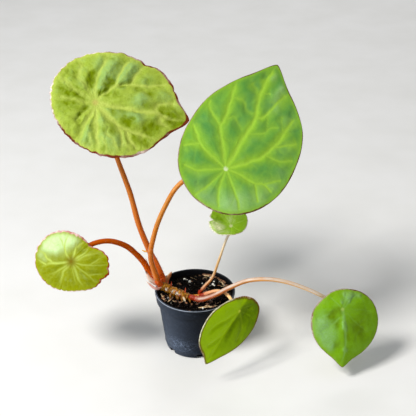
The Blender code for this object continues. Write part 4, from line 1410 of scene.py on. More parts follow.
        grids = {name: both_faces(grid, grid) for name, grid in values.items()}
        grids["under"] = both_faces(under, under + 1)
        local = np.stack([both_faces(along, along), both_faces(across, across),
                          both_faces(top, bottom)], -1)
        points = np.array(plan.joint) + local @ plan.axes()
        return inside_box(closed_grid(points, grids))

    def edge_hairs(self, shell: Shell, count: int = 260) -> Shell:
        """Short hairs that stand out from the margin.

        Args:
            shell: The finished blade.
            count: How many hairs.

        Returns:
            The hairs as one shell.
        """
        plan = self.plan
        draw = np.random.default_rng(len(plan.name) * 31 + plan.sectors)
        row = plan.rings + len(self.insets) - 1
        column = draw.integers(0, plan.sectors, count)
        roots = shell.points[row * plan.sectors + column]
        outward = unit(roots - shell.points[(row - 6) * plan.sectors + column])
        ways = outward + 0.35 * draw.normal(size=(count, 3))
        return hairs(roots - 0.1 * outward, ways, draw.uniform(0.35, 0.9, count), 0.045)

    def build(self) -> None:
        """Make and dress the blade and its margin's hairs."""
        name, slot = self.plan.name, self.plan.skin.value
        shell = self.shell()
        material = LEAF_SKINS[name].material("leaf_" + name)
        shell.build("leaf_blade_" + name, material, slot, "blade_" + name)
        fringe = inside_box(self.edge_hairs(shell))
        fringe.build("leaf_fringe_" + name, hair_material(), slot, smooth=False)


def inside_box(shell: Shell) -> Shell:
    """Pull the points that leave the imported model's box back to its sides."""
    low, high = (np.array(corner) / MM for corner in CAD_BOX)
    shell.points = np.clip(shell.points, low, high)
    return shell


@functools.cache
def hair_material() -> bpy.types.Material:
    """The one finish that every fine hair shares: pale, with pinkish and brown lengths."""
    graph = Graph("fine_hair", rgb(226, 208, 190))
    graph.coat(rgb(196, 132, 104), graph.noise(2.0, 2), 0.4, 0.65)
    return graph.finish(0.6)


@dataclass
class Stalk:
    """A leaf stalk: a rod along its own route that flares under the blade.

    Attributes:
        plan: The leaf that it carries.
        sides: Points round it.
        per_span: Stations between two of the route's own points.
        straight: Length of the straight run at either end.
        gap: Distance from the blade's middle plane to the stalk's end.
        swelling: How much the foot swells.
        flare: How much the top spreads under the blade.
        spur: Route of the dried scrap on the tallest stalk.
        highlight_way: Which way the side with the painted highlight looks.
    """
    plan: LeafPlan
    sides: int = 22
    per_span: int = 14
    straight: float = 1.0
    gap: float = 0.34
    swelling: float = 0.18
    flare: float = 0.5
    spur: tuple[Spot, ...] = ((-33.6, 6.0, 77.0), (-36.6, 5.2, 77.0), (-39.0, 4.8, 78.2))
    highlight_way: Spot = (-0.45, -0.5, 0.7)

    def route(self) -> Array:
        """The stalk's middle line, straight at its foot and square to the blade at its top."""
        plan = self.plan
        knots = np.array(plan.route, dtype=float)
        foot, along = knots[0], unit(knots[1] - knots[0])
        normal, joint = plan.axes()[2], np.array(plan.joint)
        end = joint - self.gap * normal
        run = np.vstack([foot + self.straight * along, knots[1:],
                         joint - plan.approach * normal, end - self.straight * normal])
        return np.vstack([foot, smooth_route(run, self.per_span), end])

    def grid(self) -> tuple[Array, Array, dict[str, Array]]:
        """The rod's points, outward ways and values.

        Formula: radius = the plan's radii read along the rod, plus a foot swelling that
        fades over 7% of the length, plus a flare over the last 3%, plus slow noise.

        Returns:
            Points and ways, shape (stations, sides, 3), and the named grids.
        """
        plan = self.plan
        route = self.route()
        step = np.linalg.norm(np.diff(route, axis=0), axis=1)
        along = np.concatenate([[0], np.cumsum(step)]) / step.sum()
        radii = np.interp(along * (len(plan.radii) - 1), range(len(plan.radii)), plan.radii)
        radii = radii * (1 + self.swelling * np.exp(-(along / 0.07) ** 2))
        radii = radii * (1 + self.flare * np.exp(-((1 - along) / 0.025) ** 2))
        radii = radii * (1 + 0.05 * smooth_noise(route, 9.0, 3, 2))
        points, ring = tube(route, radii, self.sides, (0.0, 1.0, 0.0), 0.07, 1.6, 4)
        turn = turns(self.sides)
        length = along * step.sum()
        grain = np.stack(np.broadcast_arrays(2 * np.cos(turn)[None], 2 * np.sin(turn)[None],
                                             length[:, None] / 9), -1)
        # The pale band below is a painted highlight along the side that looks the highlight way, fading
        # in near the foot.
        forward = unit(np.gradient(route, axis=0))
        upper = np.array(self.highlight_way)
        upper = unit(upper - (forward @ upper)[:, None] * forward)
        edge = np.interp(along, (0, 0.3, 1), (0.82, 0.74, 0.55))[:, None]
        pale = np.clip(((ring * upper[:, None]).sum(axis=-1) - edge) / 0.16, 0, 1)
        pale = pale * PAINTED_HIGHLIGHT[plan.name] * (0.75 + 0.5 * smooth_noise(points, 4.0, 8, 2))
        pale = pale * np.interp(along, (0, 0.03, 0.2, 1), (0.1, 0.8, 1, 1))[:, None]
        return points, ring, {"along": np.broadcast_to(along[:, None], pale.shape),
                              "grain": grain, "pale": np.clip(pale, 0, 1)}

    def build(self) -> None:
        """Make and dress the stalk and its hairs."""
        plan = self.plan
        points, ring, values = self.grid()
        shells = [closed_grid(points, values)]
        if plan.name == "upper_left":
            route = smooth_route(self.spur, 8)
            scrap = tube(route, np.linspace(1.0, 0.35, len(route)), 10, (0, 1, 0), 0.15, 1.0)[0]
            rows, sides = scrap.shape[:2]
            shells.append(closed_grid(scrap, {
                "along": np.full((rows, sides), 1.0), "grain": scrap / 3,
                "pale": np.full((rows, sides), 0.8)}))
        slot, skin = STALK_SLOTS[plan.name], STALK_SKINS[plan.name]
        Shell.joined(shells).build("leaf_stalk_" + plan.name, skin.material("stalk_" + plan.name),
                                   slot, "stalk_" + plan.name)
        draw = np.random.default_rng(len(plan.route) * 17 + len(plan.name))
        rows, sides = points.shape[:2]
        count = int(rows * 5)
        row = (rows * draw.random(count) ** 1.25).astype(int)
        side = draw.integers(0, sides, count)
        outward = ring[row, side]
        ways = outward + 0.45 * draw.normal(size=(count, 3))
        lengths = draw.uniform(0.4, 1.3, count) * np.interp(row / rows, (0, 0.2, 1), (1.3, 1, 0.6))
        fuzz = inside_box(hairs(points[row, side] - 0.1 * outward, ways, lengths, 0.04))
        fuzz.build("stalk_hairs_" + plan.name, hair_material(), slot, smooth=False)


STALK_SLOTS: dict[str, str] = {
    "upper_left": "stalk_red", "left": "stalk_red", "upper_right": "stalk_amber",
    "young": "stalk_tan", "front": "stalk_tan", "right": "stalk_tan"}
# How strong each stalk's painted highlight is.
PAINTED_HIGHLIGHT: dict[str, float] = {
    "upper_left": 0.12, "left": 0.05, "upper_right": 0.28, "young": 0.4, "front": 0.3,
    "right": 0.95}


# Creeping stem and sheaths

STEM_ROUTE: tuple[Spot, ...] = (
    (-26.5, -0.4, 51.9), (-24.5, -0.6, 50.8), (-21.5, -0.9, 49.1), (-17.6, -1.8, 47.4),
    (-13.0, -3.2, 45.9), (-8.6, -5.2, 44.9), (-4.6, -6.6, 44.2))
TAIL_ROUTE: tuple[Spot, ...] = ((-6.0, -6.2, 44.2), (-1.0, -5.0, 43.4), (4.6, -3.6, 42.8))
SPINE = smooth_route(np.array(STEM_ROUTE + TAIL_ROUTE[1:]), 6)


@dataclass
class CreepingStem:
    """The knobby stem on the soil, with stubs for the stalks, roots, spikes and fuzz.

    Attributes:
        radius: Radius of the rod.
        knob: How far each old leaf scar stands out.
        knobs: How many scars.
        tail_radius: Radius of the thinner young end.
        stub: Length of the straight part of each stub.
        clear: Gap between a stub and its stalk.
        root_radius: Radius of a root.
        roots: Start and end of each root.
        spikes: Start and end of each reddish spike.
        lobes: Short brown roots in front: start, end and radius.
        rootlet: Route of the pale rootlet that hangs at the front.
        fuzz_spots: Middles of the woolly white patches, with how far they reach.
        fuzz_count: Hairs in each patch.
        fuzz_depth: How far from the stem's middle line they start.
    """
    radius: float = 3.2
    knob: float = 1.05
    knobs: int = 6
    tail_radius: float = 2.1
    stub: float = 3.2
    clear: float = 0.12
    root_radius: float = 0.9
    roots: tuple[tuple[Spot, Spot], ...] = (
        ((-20.0, -1.2, 48.0), (-19.5, -3.5, 37.0)), ((-15.0, -2.6, 46.0), (-16.0, 1.0, 35.0)),
        ((-10.5, -4.4, 45.0), (-9.0, -8.5, 34.5)), ((-5.0, -6.4, 44.0), (-6.0, -3.0, 33.0)),
        ((2.0, -4.3, 43.0), (3.5, -6.5, 33.5)))
    spikes: tuple[tuple[Spot, Spot], ...] = (
        ((-17.9, -0.5, 49.5), (-17.6, 0.3, 54.2)), ((-13.2, -2.6, 48.0), (-15.0, -6.8, 48.6)),
        ((-7.4, -4.6, 47.3), (-7.0, -3.6, 51.4)), ((-10.4, -5.6, 46.6), (-12.2, -9.6, 46.9)),
        ((-20.8, 0.8, 50.9), (-19.6, 2.4, 53.8)), ((3.4, -3.0, 44.2), (2.6, -0.4, 47.0)))
    lobes: tuple[tuple[Spot, Spot, float], ...] = (
        ((-13.6, -5.2, 45.6), (-12.6, -11.0, 43.6), 1.3),
        ((-10.2, -6.4, 45.0), (-9.4, -11.6, 43.4), 1.0),
        ((-4.6, -8.4, 44.4), (-3.4, -12.4, 43.4), 0.9),
        ((-17.8, -4.6, 46.8), (-18.6, -8.4, 44.6), 1.0))
    rootlet: tuple[Spot, ...] = ((-9.0, -7.6, 45.2), (-8.0, -10.4, 45.6), (-7.0, -12.6, 44.0))
    fuzz_spots: tuple[tuple[Spot, float], ...] = (
        ((-21.2, -4.4, 49.4), 1.1), ((-16.2, -6.4, 48.8), 1.8), ((-14.4, -7.4, 47.8), 2.0),
        ((-12.6, -8.4, 46.8), 1.7))
    fuzz_count: int = 240
    fuzz_depth: float = 2.9

    def rod(self) -> Shell:
        """The rod: its radius swells to a ring at each scar, tapers at its ends, and is lumpy.

        Returns:
            The closed shell.
        """
        route = smooth_route(np.array(STEM_ROUTE), 22)
        along = np.linspace(0, 1, len(route))
        taper = np.interp(along, (0, 0.015, 0.12, 0.85, 0.985, 1), (-2.6, -1.5, 0, 0, -0.6, -1.8))
        plain, _ = tube(route, self.radius + taper, 48, (0, 1, 0))
        phase = self.knobs * along[:, None] + 0.30 * smooth_noise(plain, 4.0, 6, 2)
        uneven = 0.35 + 0.9 * smooth_noise(plain, 3.0, 7, 2)
        swell = self.knob * uneven * (0.5 - 0.5 * np.cos(2 * np.pi * phase)) ** 2
        scar = -0.3 * np.exp(-((phase % 1 - 0.5) / 0.09) ** 2)
        radii = self.radius + taper[:, None] + swell + scar
        points, _ = tube(route, radii, 48, (0, 1, 0), 0.85, 2.4, 9)
        return closed_grid(points, {"tone": np.clip(0.34 + 0.9 * swell + 2.2 * scar, 0, 0.9)})

    def limb(self, route: Array, radii: tuple[float, ...], tone: float, sides: int = 14,
             rough: float = 0.12) -> Shell:
        """A smaller rod on the stem.

        Args:
            route: Its own points.
            radii: Radii spread along it.
            tone: Its lightness, 0 to 1.
            sides: Points round it.
            rough: Height of its lumps.

        Returns:
            The closed shell.
        """
        run = smooth_route(np.array(route, dtype=float), 8)
        spread_radii = np.interp(np.linspace(0, 1, len(run)), np.linspace(0, 1, len(radii)), radii)
        points, _ = tube(run, spread_radii, sides, (0.3, 1.0, 0.1), rough, 1.4, 2)
        return closed_grid(points, {"tone": np.full(points.shape[:2], tone)})

    def stub_route(self, plan: LeafPlan) -> Array:
        """From the stem's nearest point to just short of a stalk's foot."""
        knots = np.array(plan.route, dtype=float)
        foot, along = knots[0], unit(knots[1] - knots[0])
        spine = np.array(STEM_ROUTE[1:] + TAIL_ROUTE[1:])
        nearest = spine[np.linalg.norm(spine - foot, axis=1).argmin()]
        return np.vstack([nearest, foot - self.stub * along, foot - self.clear * along])

    def fuzz(self) -> Shell:
        """Woolly hairs round each patch's middle, pointing up and outwards.

        Returns:
            The hairs as one shell.
        """
        draw = np.random.default_rng(5)
        parts = []
        for middle, reach in self.fuzz_spots:
            count = self.fuzz_count
            spots = np.array(middle) + reach * 0.55 * draw.normal(size=(count, 3))
            nearest = SPINE[np.linalg.norm(spots[:, None] - SPINE, axis=2).argmin(axis=1)]
            ways = unit(spots - nearest + np.array([0, -0.3, 0.4]))
            ways[:, 2] = np.abs(ways[:, 2])
            roots = nearest + self.fuzz_depth * ways
            tuft = hairs(roots, ways + 0.6 * draw.normal(size=(count, 3)),
                         draw.uniform(0.4, 1.2, count), 0.16)
            tuft.values["tone"] = np.repeat(draw.random(count), 4)
            parts.append(tuft)
        return Shell.joined(parts)

    def build(self) -> None:
        """Make and dress the stem, its spikes, its rootlet and its wool."""
        shells = [self.rod(), self.limb(TAIL_ROUTE, (self.tail_radius,) * 3, 0.8)]
        for plan in LEAVES:
            young = plan.name in ("young", "front", "right")
            radius = (1.0 if young else 1.08) * plan.radii[0] + 0.08
            tone = 2.4 if young else 1.5
            shells.append(self.limb(self.stub_route(plan), (radius, radius, radius * 1.04), tone))
        for start, end in self.roots:
            bend = (np.array(start) + end) / 2 + (0.6, 0, 0)
            radii = (self.root_radius, self.root_radius, self.root_radius / 2)
            shells.append(self.limb(np.array([start, bend, end]), radii, 0.3, 8))
        for start, end, radius in self.lobes:
            middle = (np.array(start) + end) / 2 + (0.3, -0.4, 0.8)
            lobe = np.array([start, middle, end])
            shells.append(self.limb(lobe, (radius, radius * 1.1, radius * 0.5), 0.15, 12, 0.3))
        skin = GrainSkin(dark=rgb(84, 42, 2), light=rgb(200, 134, 20), speck=rgb(206, 168, 84),
                         size=1.6, rough=0.34, rise=0.35, specks=0.3, blush=rgb(216, 88, 8),
                         gloss=0.22, deep=rgb(150, 44, 16))
        slot = "stem_skin"
        Shell.joined(shells).build("creeping_stem_skin", skin.material(slot), slot, "creeping_stem")
        shells = []
        for start, end in self.spikes:
            middle = (np.array(start) + end) / 2 + (0.15, 0, 0.1)
            spike = np.array([start, middle, end])
            shells.append(self.limb(spike, (0.6, 0.42, 0.06), 0.6, 8, 0.05))
        red = GrainSkin(dark=rgb(120, 30, 14), light=rgb(206, 84, 44), speck=rgb(230, 170, 130))
        Shell.joined(shells).build("stem_spikes", red.material("spike_skin"), slot)
        pale = GrainSkin(dark=rgb(170, 140, 104), light=rgb(232, 212, 178), speck=rgb(150, 96, 60))
        rootlet = self.limb(np.array(self.rootlet), (0.5, 0.8, 0.9, 0.5), 0.6, 10)
        rootlet.build("hanging_rootlet", pale.material("rootlet_skin"), slot)
        white = GrainSkin(dark=rgb(226, 220, 210), light=rgb(255, 254, 250),
                          speck=rgb(236, 220, 190), rough=0.6)
        self.fuzz().build("stem_wool", white.material("wool_skin"), slot, smooth=False)


class Paper(Enum):
    """The tints of the papery sheaths: base, streak and tip."""
    TAN = (rgb(255, 226, 160), rgb(226, 142, 70), rgb(236, 196, 160))
    CREAM = (rgb(252, 232, 214), rgb(222, 150, 120), rgb(70, 46, 36))
    PINK = (rgb(242, 196, 182), rgb(200, 78, 54), rgb(244, 226, 210))
    WHITE = (rgb(248, 234, 224), rgb(230, 190, 170), rgb(252, 236, 230))


@dataclass
class Sheath:
    """A pointed papery scale that rolls round its route.

    Attributes:
        name: Its node's name.
        route: Its middle line from foot to tip.
        width: Its width at the foot.
        roll: How far its sides roll up, in radians.
        side: Which way its back looks.
        paper: Its tint.
        painted_half_shade: How much painted shade browns one half of it, 0 to 1.
        thickness: Its thickness.
    """
    name: str
    route: tuple[Spot, ...]
    width: float
    roll: float
    side: Spot
    paper: Paper
    painted_half_shade: float = 0.0
    thickness: float = 0.34

    def shell(self) -> Shell:
        """The closed scale.

        Formula: a strip whose half-width is width / 2 * (1 - 0.85 * along ^ 1.5), its
        cross-section the arc (sin, 1 - cos) of roll * across, crinkled by noise; outer and
        inner faces lie half a thickness either side and meet round all edges.

        Returns:
            The shell.
        """
        route = smooth_route(np.array(self.route), 22)
        along = np.linspace(0, 1, len(route))
        forward = unit(np.gradient(route, axis=0))
        sideways = unit(np.cross(forward, unit(np.array(self.side, dtype=float))))
        outward = np.cross(sideways, forward)
        columns = 17
        across = np.linspace(-1, 1, columns)
        across = np.concatenate([across, across[::-1]])
        half = self.width / 2 * (1 - 0.85 * along ** 1.5)
        face = np.concatenate([np.ones(columns), -np.ones(columns)])
        face = face * self.thickness / 2 * np.sqrt(np.clip(1.04 - across ** 2, 0, 1))
        ragged = 1 + 0.12 * smooth_noise(route, 2.0, 14, 2)
        bend = self.roll * across[None] * (0.8 + 0.5 * along[:, None])
        reach = (half * ragged)[:, None]
        lift = reach * (1 - np.cos(bend))
        flat = reach * np.sin(bend)
        points = (route[:, None] + flat[..., None] * sideways[:, None]
                  - (lift - face[None])[..., None] * outward[:, None])
        crinkle = 0.22 * smooth_noise(points, 2.4, 15, 3)
        points = points + crinkle[..., None] * outward[:, None]
        grid = {"along": np.broadcast_to(along[:, None], flat.shape),
                "side": np.broadcast_to(across[None], flat.shape),
                "grain": np.stack(np.broadcast_arrays(
                    4 * across[None], 0 * along[:, None], 1.5 * along[:, None]), -1)}
        return closed_grid(points, grid)

    def build(self) -> None:
        """Make and dress the scale."""
        base, streak, tip = self.paper.value
        graph = Graph(self.name, base)
        veins = graph.noise(0.5, 4, graph.value("grain", "Vector"), 0.65)
        graph.coat(streak, veins, 0.42, 0.66)
        graph.coat(rgb(240, 226, 206), graph.noise(1.5, 3), 0.5, 0.7, 0.5)
        # Painted shade: one half browner.
        graph.coat(rgb(178, 94, 44), graph.value("side"), -0.62, -0.42, self.painted_half_shade)
        graph.coat(tip, graph.value("along"), 0.84, 0.97)
        material = graph.finish(graph.span(veins, 0.3, 0.7, 0.5, 0.75), graph.bump(veins, 0.25))
        self.shell().build(self.name + "_paper", material, "sheath_paper", self.name)


SHEATHS: tuple[Sheath, ...] = (
    Sheath("sheath_back", ((-23.2, 0.6, 51.2), (-20.2, 5.4, 53.6), (-17.4, 6.4, 58.4)),
           6.2, 0.9, (0.1, -0.9, 0.1), Paper.TAN, 0.85),
    Sheath("sheath_left", ((-26.6, -2.2, 51.9), (-32.6, -5.6, 58.6), (-36.0, -6.2, 66.6)),
           5.0, 1.2, (0.1, -1.0, 0.1), Paper.CREAM),
    Sheath("sheath_front", ((-24.0, -2.6, 49.6), (-29.6, -6.8, 51.6), (-35.6, -7.2, 58.4)),
           5.2, 1.0, (-0.3, -0.9, -0.25), Paper.PINK),
    Sheath("sheath_tall", ((-28.0, 1.6, 52.6), (-33.0, 3.8, 61.2), (-36.6, 3.2, 72.6)),
           4.0, 0.8, (-0.2, 1.0, 0.3), Paper.WHITE),
)


# Pot and soil

@dataclass
class Pot:
    """A turned plastic pot with a band under its rim and notches in its foot.

    Attributes:
        height, rim_radius: Height and radius of the rim.
        band_height, band_radius: The same of the band under the rim.
        body_radius, foot_radius: Radius just under the band, and at the foot.
        wall, floor: Thickness of the wall and of the floor.
        line_height, line_proud: Where the faint raised line is, and how far it stands out.
        notches, notch_width, notch_height: How many notches the foot has, and their size.
        notch_turn: Where the first notch is, in degrees from the front.
        scuff_at: Middle of the scuffed patch, as degrees round and height.
        segments: Columns of the grid.
    """
    height: float = 47.0
    rim_radius: float = 30.0
    band_height: float = 7.8
    band_radius: float = 29.4
    body_radius: float = 27.5
    foot_radius: float = 22.2
    wall: float = 1.2
    floor: float = 1.6
    line_height: float = 4.8
    line_proud: float = 0.25
    notches: int = 6
    notch_width: float = 5.0
    notch_height: float = 3.2
    notch_turn: float = -50.0
    scuff_at: tuple[float, float] = (238.0, 11.0)
    segments: int = 240

    def outside(self, height: float) -> float:
        """The outer radius under the band, which tapers evenly to the foot."""
        rise = self.height - self.band_height
        return self.foot_radius + (self.body_radius - self.foot_radius) * height / rise

    def inside(self, inset: float) -> list[tuple[float, float]]:
        """Profile of the inner face from floor to rim.

        Args:
            inset: How far to move it in.

        Returns:
            Pairs of radius and height.
        """
        under_band = self.height - self.band_height
        foot = self.foot_radius - self.wall - inset
        return [(foot - 1.2, self.floor + inset), (foot, self.floor + inset + 1.4),
                (self.body_radius - self.wall - inset, under_band - 0.8),
                (self.band_radius - self.wall - 0.3 - inset, under_band + 0.8),
                (self.band_radius - self.wall - inset, self.height - 1)]

    def profile(self) -> Array:
        """The whole profile from the middle of the inner floor, over the rim, to the middle
        of the underside, with close pairs of points that keep its edges crisp.

        Returns:
            Radius and height, shape (n, 2).
        """
        top, under_band, line = self.height, self.height - self.band_height, self.line_height
        band, edge = self.band_radius, self.rim_radius
        inner = [(0.4 * part, self.floor) for part in (1, 12, 24, 36, 44)] + self.inside(0)
        rim = [(band - 0.95, top - 0.25), (band - 0.7, top), (edge - 0.5, top),
               (edge - 0.15, top - 0.15), (edge, top - 0.5), (edge, top - 1.5),
               (edge - 0.1, top - 1.75), (band, top - 2.1),
               (band - 0.15, under_band + 4), (band - 0.3, under_band + 0.6),
               (band - 0.45, under_band + 0.15), (band - 0.9, under_band),
               (self.body_radius + 0.1, under_band - 0.2),
               (self.outside(under_band - 0.7), under_band - 0.7)]
        body = [(self.outside(height), height) for height in np.linspace(36, 7, 16)]
        foot = [(self.outside(line + 0.7), line + 0.7),
                (self.outside(line + 0.25) + self.line_proud, line + 0.25),
                (self.outside(line - 0.25) + self.line_proud, line - 0.25),
                (self.outside(line - 0.7), line - 0.7), (self.outside(2.6), 2.6),
                (self.foot_radius, 1.6), (self.foot_radius - 0.1, 0.9),
                (self.foot_radius - 0.5, 0.35), (self.foot_radius - 1.4, 0)]
        under = [(radius, 0.0) for radius in (19.0, 15.0, 10.0, 5.0, 0.4)]
        return np.array(inner + rim + body + foot + under)

    def cut_notches(self, piece: bpy.types.Object) -> None:
        """Cut the foot's notches out of the turned mesh with an exact boolean.

        Args:
            piece: The pot, whose mesh is changed.
        """
        cube = np.array(list(itertools.product((-0.5, 0.5), repeat=3)))
        sides = np.array([(0, 1, 3, 2), (4, 6, 7, 5), (0, 4, 5, 1), (2, 3, 7, 6), (0, 2, 6, 4),
                          (1, 5, 7, 3)])
        shells = []
        for index in range(self.notches):
            turn = math.radians(self.notch_turn + 360 / self.notches * index - 90)
            outward = np.array([math.cos(turn), math.sin(turn), 0])
            aside = np.array([-math.sin(turn), math.cos(turn), 0])
            local = (cube[:, :1] * 5 * outward + cube[:, 1:2] * self.notch_width * aside
                     + cube[:, 2:] * 2 * self.notch_height * UP)
            shells.append(Shell(local + self.foot_radius * outward, [sides]).outward())
        cutter_shell = Shell.joined(shells)
        mesh = bpy.data.meshes.new("notches")
        mesh.from_pydata((cutter_shell.points * MM).tolist(), [],
                         [face for part in cutter_shell.faces for face in part.tolist()])
        cutter = placed("notches", mesh)
        cut = piece.modifiers.new("notches", "BOOLEAN")
        cut.operation = "DIFFERENCE"
        cut.solver = "EXACT"
        cut.object = cutter
        graph = bpy.context.evaluated_depsgraph_get()
        piece.data = bpy.data.meshes.new_from_object(piece.evaluated_get(graph))
        piece.modifiers.clear()
        bpy.data.objects.remove(cutter)
        piece.data.shade_smooth()
        piece.data.set_sharp_from_angle(angle=math.radians(40))

    def build(self) -> None:
        """Turn the profile round the upright axis, cut the notches and dress the pot."""
        profile = self.profile()
        turn = turns(self.segments)
        points = profile[:, 0, None, None] * circle(turn) + profile[:, 1, None, None] * UP
        # A painted highlight along the rim's outer edge, brightest towards the front left.
        near_rim = np.exp(-((profile[:, 1] - self.height) / 0.25) ** 2)
        outer = profile[:, 0] > self.rim_radius - 0.3
        # Painted shade over the pot's inside, fullest at the inner floor and cut off at the rim top.
        steps = np.arange(len(profile))
        painted_inner_shade = np.interp(steps, (0, steps[profile[:, 1].argmax()], len(profile)), (1, 0.6, 0))
        painted_inner_shade = np.where(steps < profile[:, 1].argmax(), painted_inner_shade, 0.0)[:, None]
        edge = 1.6 * near_rim * np.where(outer, 1.0, 0.02)
        lit = 0.5 + 0.5 * np.cos(turn - math.radians(225))
        edge = edge[:, None] * (0.25 + 0.6 * lit + 0.5 * smooth_noise(points, 4.0, 31, 2))
        # A painted sheen on the left side, fading towards the rim.
        painted_side_sheen = np.clip(np.cos(turn - math.radians(205)), 0, 1) ** 2
        painted_side_sheen = painted_side_sheen[None] * (0.24 - 0.12 * profile[:, 1, None] / self.height)
        slant = turn[None] * 1.6 + profile[:, 1, None] / 12
        grain = np.stack(np.broadcast_arrays(
            5 * np.cos(slant), 5 * np.sin(slant), profile[:, 1, None] / 2), -1)
        around_spot = (turn[None] - math.radians(self.scuff_at[0])) * self.foot_radius
        up_spot = profile[:, 1, None] - self.scuff_at[1]
        scuff = np.exp(-(around_spot / 9) ** 2 - (up_spot / 5) ** 2)
        scuff = np.clip(scuff + 0.03, 0, 1) * (profile[:, 0, None] > self.foot_radius - 1)
        shell = closed_grid(points, {
            "edge": np.clip(edge, 0, 1), "grain": grain, "painted_side_sheen": painted_side_sheen,
            "scuff": np.broadcast_to(scuff, edge.shape),
            "painted_inner_shade": np.broadcast_to(painted_inner_shade, edge.shape)})
        slot = "pot_plastic"
        self.cut_notches(shell.build("pot_shell", PlasticSkin().material(slot), slot, "pot"))


class Strewn(Enum):
    """What lies on the soil: how many, the smallest and the largest size."""
    CRUMBS = (2600, 0.25, 1.2)
    PERLITE = (70, 0.16, 0.8)
    CHIPS = (44, 0.4, 1.6)
    FIBRES = (60, 0.7, 3.2)


# The larger pieces one by one: place across, place away from the front, half-length,
# degrees round and tone.
SCRAPS: dict[Strewn, tuple[tuple[float, float, float, float, float], ...]] = {
    Strewn.PERLITE: (
        (-8.2, 20, 1.1, 10, .6), (-6.4, 19.4, .8, 60, .8), (-4, 16, 1.2, 150, .4),
        (14.3, 14.5, .8, 40, .9), (13.5, 11, 1, 20, .9), (14.6, 9.8, .7, 80, .9),
        (6.1, -20.4, .9, 30, .8)),
    Strewn.CHIPS: (
        (-12.4, 14.5, 1.2, 20, .7), (7.4, 25, 1.8, 165, .5), (11.6, 23.8, 1.9, 150, .8),
        (17.4, 20, 2.1, 130, .55), (21.6, 14.8, 2, 120, .7), (24.2, 9.6, 1.8, 105, .5),
        (14.6, 21, 1.5, 30, .9), (19.4, 16.4, 1.3, 80, .8), (11.9, -10.5, 2, 100, .25),
        (-23.6, -7.8, 1.7, 120, .8), (-10.5, -13.8, 1.3, 30, .35), (-14.2, -12.6, 1.2, 110, .3),
        (-2.6, -14.4, 1.2, 70, .5), (2.2, -13.2, 1.4, 20, .2), (-6.4, -14.2, .9, 150, .9),
        (-17.4, -10, 1.2, 60, .35)),
    Strewn.FIBRES: (
        (6.6, -18.6, 4.2, 8, 1), (12.4, -17.2, 3.6, 12, .95), (9.5, -16.8, 3, 170, .8),
        (-24.6, -4, 3.4, 110, .9), (-22.6, -9.6, 3.2, 130, .85), (-19, -12.4, 2.4, 60, .8),
        (9, 23.2, 3.4, 160, .9), (20.8, 12.2, 3.6, 115, .8))}


